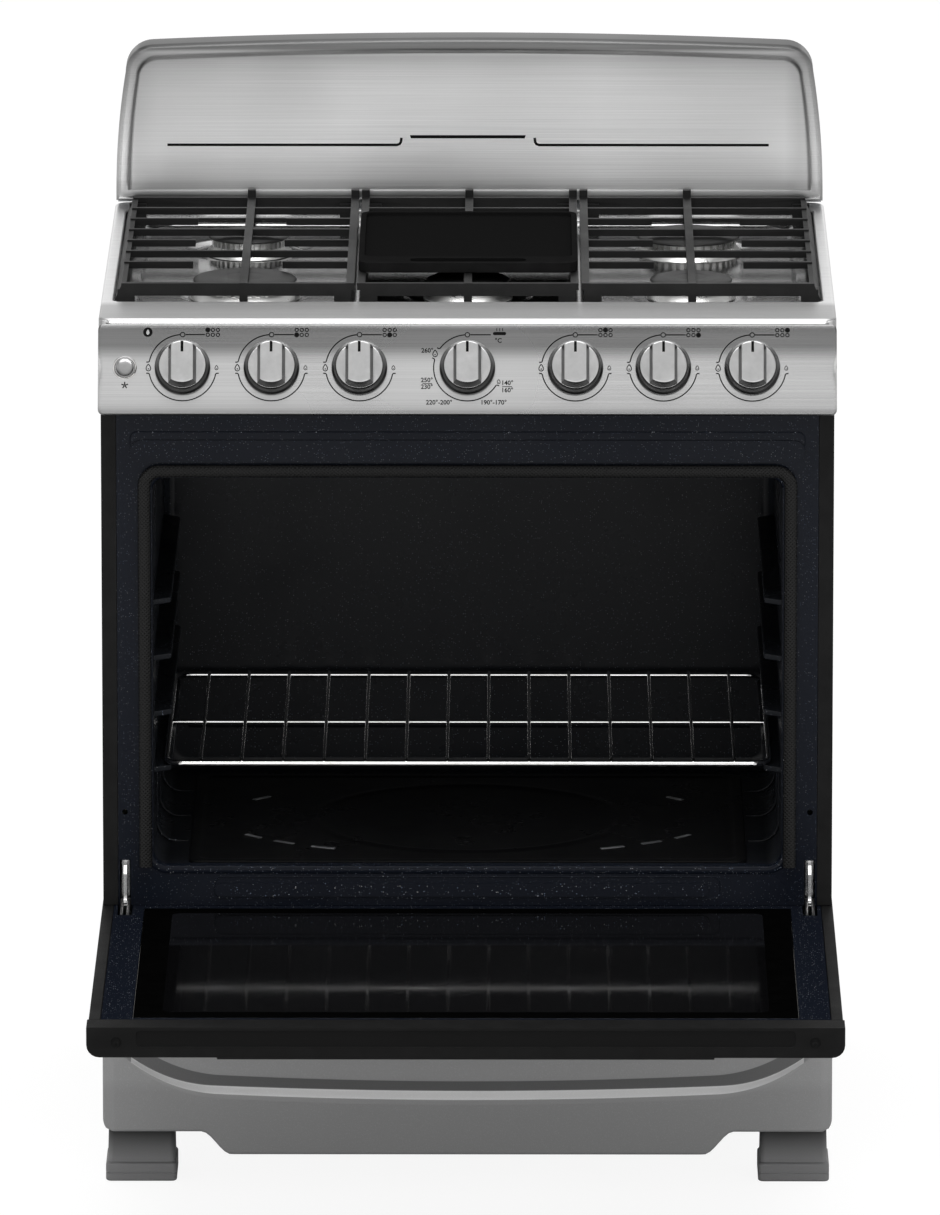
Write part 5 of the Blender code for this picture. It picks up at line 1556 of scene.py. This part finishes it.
FRAME_WIRE = 0.0030
LONG_WIRE = 0.0018
level = rack_low.z + FRAME_WIRE
over = rack_high.z - LONG_WIRE
rack_x = (rack_low.x + FRAME_WIRE, rack_high.x - FRAME_WIRE)
rack_y = (rack_low.y + FRAME_WIRE, rack_high.y - FRAME_WIRE)
wires = [wire_piece([(x, y, level) for x, y in rounded(rack_x, rack_y, 0.020, 6)], FRAME_WIRE, True)]
cross_y = (rack_y[0] + rack_y[1]) / 2 - 0.016
wires.append(wire_piece([(rack_x[0], cross_y, level), (rack_x[1], cross_y, level)], 0.0024))
LONG_WIRES = 14
pitch = (rack_x[1] - rack_x[0]) / (LONG_WIRES + 0.70)
for index in range(LONG_WIRES):
    x = (index - (LONG_WIRES - 1) / 2) * pitch
    ends = [
        (x, rack_y[0] - 0.0008, level + 0.0006), (x, rack_y[0] + 0.0006, over - 0.0006),
        (x, rack_y[0] + 0.0030, over)
    ]
    back = [
        (x, rack_y[1] - 0.0030, over), (x, rack_y[1] - 0.0006, over - 0.0006),
        (x, rack_y[1] + 0.0008, level + 0.0006)
    ]
    wires.append(wire_piece(ends + back, LONG_WIRE))
finished(joined(wires, "chromed_rack"), CHROME, body_of("oven_rack"), ["oven_rack"], 60)
print("rack wires:", LONG_WIRES)

# %% [markdown]
# Three half-round beads stiffen each side wall. Each one runs down the wall from below the rack, round the
# bend at the foot of the wall and a short way across the floor.

# %% Wall beads
BEAD = 0.0016
WALL_FOOT = 0.022
beads = []
for side in (-1, 1):
    for y in (0.070, 0.185, 0.300):
        wall_x = liner_high.x - 0.0012
        foot_z = liner_low.z + 0.0012
        path = [(side * wall_x, y, rack_low.z - 0.012), (side * wall_x, y, foot_z + WALL_FOOT)]
        for x, z in arc((wall_x - WALL_FOOT, foot_z + WALL_FOOT), WALL_FOOT, 0, -90, 8)[1:]:
            path.append((side * x, y, z))
        path.append((side * (wall_x - 0.032), y, foot_z))
        beads.append(wire_piece(path, BEAD))
bend_y = liner_high.y - 0.0030
bend_z = liner_low.z + 0.0500
beads.append(wire_piece([(-0.300, bend_y, bend_z), (0.300, bend_y, bend_z)], 0.0040))
finished(joined(beads, "oven_wall_beads"), OVEN_ENAMEL_LIT_SIDES, "cabinet")
print("wall beads:", len(beads))

# %% [markdown]
# The front frame is stiffened by two long embossed fields, one above the mouth and one below it. Only their
# outline shows, as a fine raised line with round ends.

# %% Embossed fields
FIELDS = ((0.348, 0.7765, 0.7950), (0.262, 0.3010, 0.3240))
outlines = []
for half, low, high in FIELDS:
    path = [(a, frame_low.y + 0.0024, b) for a, b in rounded((-half, half), (low, high), 0.007, 6)]
    outlines.append(wire_piece(path, 0.0007, True))
finished(joined(outlines, "front_frame_embossing"), SPECKLED, "cabinet")
print("embossed fields:", len(FIELDS))

# %% [markdown]
# ## The oven door
# The door lies open at rest. Its enamelled inner skin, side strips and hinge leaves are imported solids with
# eased edges. The inner pane is clear dark glass with a wide black border printed on it, and the border is
# its own thin frame just above the glass. The outer pane behind it closes the view.

# %% Door skin and glass
door_body = body_of("door_inner_panel")
refined("door_inner_panel", DOOR_ENAMEL, 0.0009, 2, 30)
refined("door_outer_glass", OUTER_GLASS, 0.0006, 2, 30)
refined("door_inner_glass", INNER_GLASS, 0.0006, 2, 30)
pane_low, pane_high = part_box("door_inner_glass")
BORDER_SIDE = 0.0290
BORDER_NEAR = 0.0240
BORDER_FAR = 0.0200


def pane_ring(share, height):
    x = (pane_low.x + 0.0004 + BORDER_SIDE * share, pane_high.x - 0.0004 - BORDER_SIDE * share)
    y = (pane_low.y + 0.0004 + BORDER_NEAR * share, pane_high.y - 0.0004 - BORDER_FAR * share)
    return [(a, b, pane_high.z + height) for a, b in rounded(x, y, 0.001 + 0.009 * share)]


border = loft(
    [
        pane_ring(0, 0.00002), pane_ring(0, 0.00012), pane_ring(1, 0.00012), pane_ring(1, 0.00002),
        pane_ring(0, 0.00002)
    ],
    (False, False)
)
bmesh.ops.remove_doubles(border, verts=border.verts, dist=0.000005)
finished(as_object(border, "door_glass_border"), FRIT, door_body)
print("door glass:", round(pane_high.x - pane_low.x, 3), "by", round(pane_high.y - pane_low.y, 3), "m")

# %% [markdown]
# A black moulding caps the door's upper edge, and two strips run down its sides. The cap has a shallow
# recess and a screw near each end. The screws are turned heads with a crossed slot, small enough to build
# from two short turned profiles and a pair of bars.

# %% Door mouldings and screws
LIP_REACH = 0.03
cap = refined("door_top_trim", TRIM_PLASTIC, 0.0016, 3, 30)
cap_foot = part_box("door_inner_panel")[0].z - 0.0073
for vertex in cap.data.vertices:
    below = cap_foot - vertex.co.z
    if below > 0.0:
        vertex.co.z = cap_foot - below * LIP_REACH
for side in ("left", "right"):
    refined(f"door_side_trim_{side}", TRIM_PLASTIC, 0.0009, 2, 30)
trim_low, trim_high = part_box("door_top_trim")
grip_reach = 0.0100
for side, name in ((-1, "left"), (1, "right")):
    x = side * (trim_high.x - 0.030)
    z = (trim_high.z + trim_low.z + grip_reach) / 2
    place = Matrix.Translation((x, trim_low.y + 0.0016, z)) @ Matrix.Rotation(radians(90), 4, "X")
    head = [(0.0036, -0.0010), (0.0036, 0.0002), (0.0033, 0.0008), (0.0024, 0.0012), (0.0009, 0.0013)]
    screw = as_object(turned(head, 32, place), "screw_head")
    slots = []
    for turn in (20, 110):
        cross = place @ Matrix.Rotation(radians(turn), 4, "Z")
        slots.append(
            as_object(
                slab(
                    [(-0.0022, -0.0004), (0.0022, -0.0004), (0.0022, 0.0004), (-0.0022, 0.0004)],
                    (0.0006, 0.002), cross
                ),
                "slot"
            )
        )
    carved(screw, slots)
    finished(screw, TRIM_PLASTIC, door_body).name = f"door_trim_screw_{name}"
print("door cap:", round(trim_high.x - trim_low.x, 3), "m wide")

# %% [markdown]
# ## The drawer front
# The drawer front is one deep pressing: a narrow slanted band down each side, a flat face, and a channel
# that crosses it and sweeps up at both ends. Its lower edge drops between the feet in an S curve. The mesh
# is a grid of columns. Each column is the front's vertical section at that place, so the channel and the
# lower edge are two formulas of the distance from the middle.

# %% Drawer front sections
drawer_low, drawer_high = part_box("drawer_front")
DRAWER_HALF = drawer_high.x
DRAWER_TOP = drawer_high.z
DRAWER_SKIRT = drawer_low.z
BODY_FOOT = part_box("side_panel_left")[0].z
CORNER_Z = BODY_FOOT + 0.0035
CHANNEL_REACH = (DRAWER_HALF - 0.001) * 0.945
CHANNEL_DEPTH = 0.0032


def lower_edge(x):
    """The height of the drawer front's lower edge."""
    high, low = (DRAWER_HALF - 0.001) * 0.732, (DRAWER_HALF - 0.001) * 0.65
    share = min(1.0, max(0.0, (high - abs(x)) / (high - low)))
    edge = CORNER_Z + (DRAWER_SKIRT - CORNER_Z) * (3 - 2 * share) * share**2
    corner = abs(x) - (DRAWER_HALF - 0.010)
    return edge + (0.010 - sqrt(max(0.0, 0.010**2 - corner**2)) if corner > 0 else 0.0)


def channel(x):
    """The height of the channel's fold, the heights of its two flanks, and its depth, at a place."""
    run = abs(x) / (DRAWER_HALF - 0.001)
    rise = max(0.0, (run - 0.693) / 0.222)
    fold = BODY_FOOT + 0.0474 + 0.0112 * run**2 + 0.0240 * rise**2.2
    upper = 0.0106 + 0.0030 * run**2 + 0.0050 * min(rise, 1.0)
    lower = 0.0093 - 0.0020 * run**2 - 0.0024 * min(rise, 1.0)
    fade = min(1.0, max(0.0, (CHANNEL_REACH - abs(x)) / 0.010)) ** 0.5
    return fold, upper, lower, CHANNEL_DEPTH * fade


def drawer_column(x, y, out):
    """One vertical section, from inside the top edge down to inside the bottom edge."""
    low = lower_edge(x)
    fold, upper, lower, deep = channel(x)
    front = [
        (DRAWER_TOP, 0.0160), (DRAWER_TOP, 0.0030), (DRAWER_TOP - 0.0005, 0.0014),
        (DRAWER_TOP - 0.0016, 0.0004), (DRAWER_TOP - 0.0032, 0.0)
    ]
    for share, depth in (
        (1.50, 0), (1.12, 0.02), (1.0, 0.08), (0.92, 0.22), (0.5, 0.62), (0.12, 0.96), (0.04, 1.0)
    ):
        front.append((fold + share * upper, depth * deep))
    for share, depth in (
        (0.04, 1.0), (0.12, 0.95), (0.5, 0.60), (0.90, 0.24), (1.0, 0.17), (1.12, 0.13), (1.50, 0.09),
        (1.62, 0.0)
    ):
        front.append((fold - share * lower, depth * deep))
    front += [
        (low + 0.0034, 0.0), (low + 0.0016, 0.0004), (low + 0.0005, 0.0014), (low, 0.0030), (low, 0.0100)
    ]
    return [(x + out[0] * depth, y + out[1] * depth, z) for z, depth in front]


print("channel depth:", CHANNEL_DEPTH)

# %% [markdown]
# The drawer front is a grid, one column of points for each place across its width. The columns run up one
# side, round the slanted corner, over the front and back again. A Solidify modifier then gives the skin
# the thickness of sheet. The pressed channel's lower flank gets a painted highlight, its upper flank painted
# shade.

# %% Drawer front
def drawer_columns():
    """Where each section stands: back along one side, round the slanted band, across, and back again."""
    face, back = drawer_low.y, drawer_high.y
    side = [
        (DRAWER_HALF, back, (-1, 0)), (DRAWER_HALF, face + 0.0100, (-1, 0)),
        (DRAWER_HALF, face + 0.0062, (-1, 0)), (DRAWER_HALF - 0.0003, face + 0.0046, (-0.9, 0.3)),
        (DRAWER_HALF - 0.0012, face + 0.0034, (-0.7, 0.7)),
        (DRAWER_HALF - 0.0028, face + 0.0026, (-0.2, 0.95)),
        (DRAWER_HALF - 0.0095, face + 0.0010, (0, 1)), (DRAWER_HALF - 0.0110, face + 0.0003, (0, 1)),
        (DRAWER_HALF - 0.0124, face, (0, 1)),
    ]
    columns = [(-x, y, (-a, b)) for x, y, (a, b) in side]
    reach = DRAWER_HALF - 0.0150
    steps = 150
    columns += [(reach * (2 * step / steps - 1), face, (0, 1)) for step in range(steps + 1)]
    return columns + side[::-1]


front_mesh = loft([drawer_column(*column) for column in drawer_columns()], (False, False), False)
shell = as_object(front_mesh, "drawer_face")
thick = shell.modifiers.new("Sheet", "SOLIDIFY")
thick.thickness = 0.0010
thick.offset = -1.0
finished(baked(shell), GREY_PAINT, body_of("drawer_front"), ["drawer_front"], 45)
shell.data.materials.append(CHANNEL_PAINTED_HIGHLIGHT)
shell.data.materials.append(CHANNEL_PAINTED_SHADE)
# Lower flank faces take the painted highlight, upper flank faces the painted shade.
for face in shell.data.polygons:
    fold, upper, lower, deep = channel(face.center.x)
    drop = fold - face.center.z
    if abs(face.center.x) > CHANNEL_REACH * 0.985:
        continue
    if 0.0 < drop < lower * 1.02:
        face.material_index = 1
    if -upper * 1.02 < drop <= 0.0:
        face.material_index = 2
print("drawer front:", len(shell.data.polygons), "faces")

# %% [markdown]
# ## Feet
# Each foot is a hollow moulding with an upright toe, a thin shadow line round it, a ledge and a face that
# leans back up to the body. Rounded rectangles lofted upwards give all of that. Only the outer face leans,
# so the inset is larger on the side that faces away from the range.

# %% Feet
def dress_foot(node):
    low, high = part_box(node)
    front = low.y < 0
    stages = [
        (
            0.0000, 0.0012, 0.0012
        ), (0.0010, 0.0003, 0.0003), (0.0022, 0.0, 0.0), (0.0084, 0.0, 0.0), (0.0087, 0.0005, 0.0005),
        (
            0.0095, 0.0005, 0.0005
        ), (0.0098, 0.0, 0.0), (0.0168, 0.0, 0.0), (0.0184, 0.0003, 0.0004), (0.0194, 0.0010, 0.0014),
        (0.0200, 0.0018, 0.0034), (0.0226, 0.0021, 0.0044), (
            high.z - 0.0012, 0.0026, 0.0185
        ), (high.z, 0.0034, 0.0200),
    ]
    rings = []
    for height, inset, lean in stages:
        y = (low.y + (lean if front else inset), high.y - (inset if front else lean))
        rings.append(
            [(a, b, height) for a, b in rounded((low.x + inset, high.x - inset), y, 0.0045 + inset * 0.5)]
        )
    foot = as_object(loft(rings), node + "_moulding")
    finished(foot, GREY_PLASTIC, "cabinet", [node], 35)


for node in sorted(frame["nodes"]):
    if node.startswith("foot_"):
        dress_foot(node)
print("feet: 4")

# %% [markdown]
# ## Side panels, hinges and what lies inside
# These parts have the right shape already. The hinges get eased edges, because their bright steel shows
# beside the door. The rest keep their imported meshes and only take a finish.

# %% Hinges and plain nodes
for side in ("left", "right"):
    refined(f"hinge_receiver_{side}", HINGE_STEEL, 0.0003, 2, 30)
    refined(f"hinge_leaf_{side}", HINGE_STEEL, 0.0003, 2, 30)
    refined(f"side_panel_{side}", BLACK_STEEL, 0.0004, 2, 30)
PLAIN = {
    "rear_panel": GALVANISED, "backguard_back": GALVANISED,
    "base_frame": GALVANISED, "drawer_box": GALVANISED,
    "drawer_runner_left": GALVANISED, "drawer_runner_right": GALVANISED, "gas_manifold": GALVANISED,
    "oven_burner": GALVANISED, "oven_insulation": WOOL,
}
for node, finish in PLAIN.items():
    skin = frame["nodes"][node].data.materials
    skin.clear()
    skin.append(finish)
shown = [node for node in frame["nodes"] if not frame["nodes"][node].hide_render]
print("packed solids still shown:", sorted(shown))

# %% [markdown]
# ## Floor, light and camera
# The range stands on a plain white floor that is large enough to be the whole background. The floor is a
# soft white, and a little glow that only the camera sees lifts it to paper white while it still takes a
# shadow. The world is a studio by formula: bright near the horizon, a darker band above it and bright
# overhead, which gives brushed steel part of its soft change of tone from edge to edge. On the splash guard,
# the control panel and the cooktop, the rest is painted reflection and shade in the steel's colour.

# %% Floor
floor_mesh = loft([[(x, y, z) for x, y in rounded((-30, 30), (-30, 30), 6.0)] for z in (-0.020, -0.0005)])
floor = as_object(floor_mesh, "studio_floor")
paper = bpy.data.materials.new("studio floor")
paper.use_nodes = True
tree = paper.node_tree
base = tree.nodes["Principled BSDF"]
base.inputs["Base Color"].default_value = (0.80, 0.80, 0.80, 1.0)
base.inputs["Roughness"].default_value = 0.9
base.inputs["Specular IOR Level"].default_value = 0.1
rays = add_node(tree, "LightPath").outputs
white = add_node(tree, "BsdfDiffuse", {"Color": (0.16, 0.16, 0.16, 1.0)})
glow = add_node(tree, "Emission", {"Color": (1, 1, 1, 1), "Strength": 0.90})
both = add_node(tree, "AddShader", {0: white.outputs[0], 1: glow.outputs[0]})
mixed = add_node(tree, "MixShader", {0: rays["Is Camera Ray"], 1: base.outputs[0], 2: both.outputs[0]})
tree.links.new(mixed.outputs[0], tree.nodes["Material Output"].inputs["Surface"])
floor.data.materials.append(paper)
print("floor: 60 by 60 m")

# %% [markdown]
# The world is a soft studio sky. One ramp sets how bright it is at each height in front of the range, and
# another does the same behind it. Dark panels to the left and right give the steel something to reflect
# beside the light.

# %% Studio world
world = bpy.data.worlds.new("studio")
bpy.context.scene.world = world
world.use_nodes = True
tree = world.node_tree
direction = add_node(tree, "TexCoord").outputs["Generated"]
parts = add_node(tree, "SeparateXYZ", {"Vector": direction})
FRONT_SKY = ((0.00, 0.95), (0.30, 0.95), (0.54, 0.90), (0.66, 0.30), (0.80, 0.25), (0.90, 0.90), (1.00, 1.25))
BACK_SKY = ((0.00, 0.92), (0.20, 0.88), (0.45, 0.88), (0.74, 0.90), (0.88, 1.15), (1.00, 1.25))
SKY_SCALE = 1.30


def sky(stops):
    """A brightness for each height above the horizon."""
    node = add_node(tree, "ValToRGB", {"Fac": parts.outputs["Z"]})
    node.color_ramp.interpolation = "EASE"
    while len(node.color_ramp.elements) < len(stops):
        node.color_ramp.elements.new(0.5)
    for element, (place, level) in zip(node.color_ramp.elements, stops):
        element.position = place
        element.color = (level / SKY_SCALE, level / SKY_SCALE, level / SKY_SCALE, 1.0)
    return node.outputs["Color"]


behind = ramp(tree, parts.outputs["Y"], -0.15, 0.35)
front_sky, back_sky = sky(FRONT_SKY), sky(BACK_SKY)
blend = add_node(tree, "Mix", data_type="RGBA")
tree.links.new(behind, blend.inputs[0])
tree.links.new(front_sky, blend.inputs[6])
tree.links.new(back_sky, blend.inputs[7])
aside = calc(tree, "ABSOLUTE", parts.outputs["X"])
flags = calc(tree, "MULTIPLY", ramp(tree, aside, 0.30, 0.60), ramp(tree, aside, 0.98, 0.75))
dimmed = add_node(
    tree, "VectorMath", {0: blend.outputs[2], "Scale": ramp(tree, flags, 0.0, 1.0, 1.0, 0.55)},
    operation="SCALE"
)
background = tree.nodes["Background"]
tree.links.new(dimmed.outputs[0], background.inputs["Color"])
background.inputs["Strength"].default_value = SKY_SCALE
print("world stops:", len(FRONT_SKY) + len(BACK_SKY))

# %% [markdown]
# Four softboxes light the range: one overhead, one on each side and a low one in front. A large area lamp
# gives a soft edge to its shadow and a broad highlight on brushed steel. The lamps are hidden from the
# camera.

# %% Lamps
def softbox(name, place, aim, width, height, power):
    lamp = bpy.data.lights.new(name, "AREA")
    lamp.shape = "RECTANGLE"
    lamp.size = width
    lamp.size_y = height
    lamp.energy = power
    holder = bpy.data.objects.new(name, lamp)
    bpy.context.scene.collection.objects.link(holder)
    holder.location = place
    holder.rotation_euler = (Vector(aim) - Vector(place)).to_track_quat("-Z", "Y").to_euler()
    holder.visible_camera = False
    return holder


# each lamp: its name, where it stands, what it points at, its width, its height and its power in watts
SOFTBOXES = (
    ("overhead_softbox", (0.0, -1.1, 3.3), (0, 0, 0.7), 2.6, 1.2, 42),
    ("left_softbox", (-3.2, -2.2, 1.6), (0, 0, 0.6), 1.0, 2.2, 5),
    ("right_softbox", (3.2, -2.2, 1.6), (0, 0, 0.6), 1.0, 2.2, 5),
    ("front_softbox", (0.0, -3.2, 0.55), (0, 0, 0.55), 3.2, 1.0, 16),
)
for box in SOFTBOXES:
    softbox(*box)
print("lamps:", len(SOFTBOXES))

# %% [markdown]
# A long lens from far away shows the range almost without perspective, as a catalogue picture does. The
# camera stands a little above the cooktop and looks down at the middle of the range.

# %% Camera
CAMERA_PLACE = Vector((0.050, -14.290, 3.7387))
CAMERA_AIM = Vector((0.0026, -0.060, 0.610))
LENS_MM = 417.8
SENSOR_MM = 36.0
FARTHEST_SEEN = 200.0
lens = bpy.data.cameras.new("catalogue lens")
lens.lens = LENS_MM
lens.sensor_width = SENSOR_MM
lens.clip_end = FARTHEST_SEEN
camera = bpy.data.objects.new("catalogue_camera", lens)
bpy.context.scene.collection.objects.link(camera)
camera.location = CAMERA_PLACE
camera.rotation_euler = (CAMERA_AIM - CAMERA_PLACE).to_track_quat("-Z", "Y").to_euler()
bpy.context.scene.camera = camera
bpy.context.scene.view_settings.view_transform = "Standard"
print("camera distance:", round((CAMERA_AIM - CAMERA_PLACE).length, 2), "m")
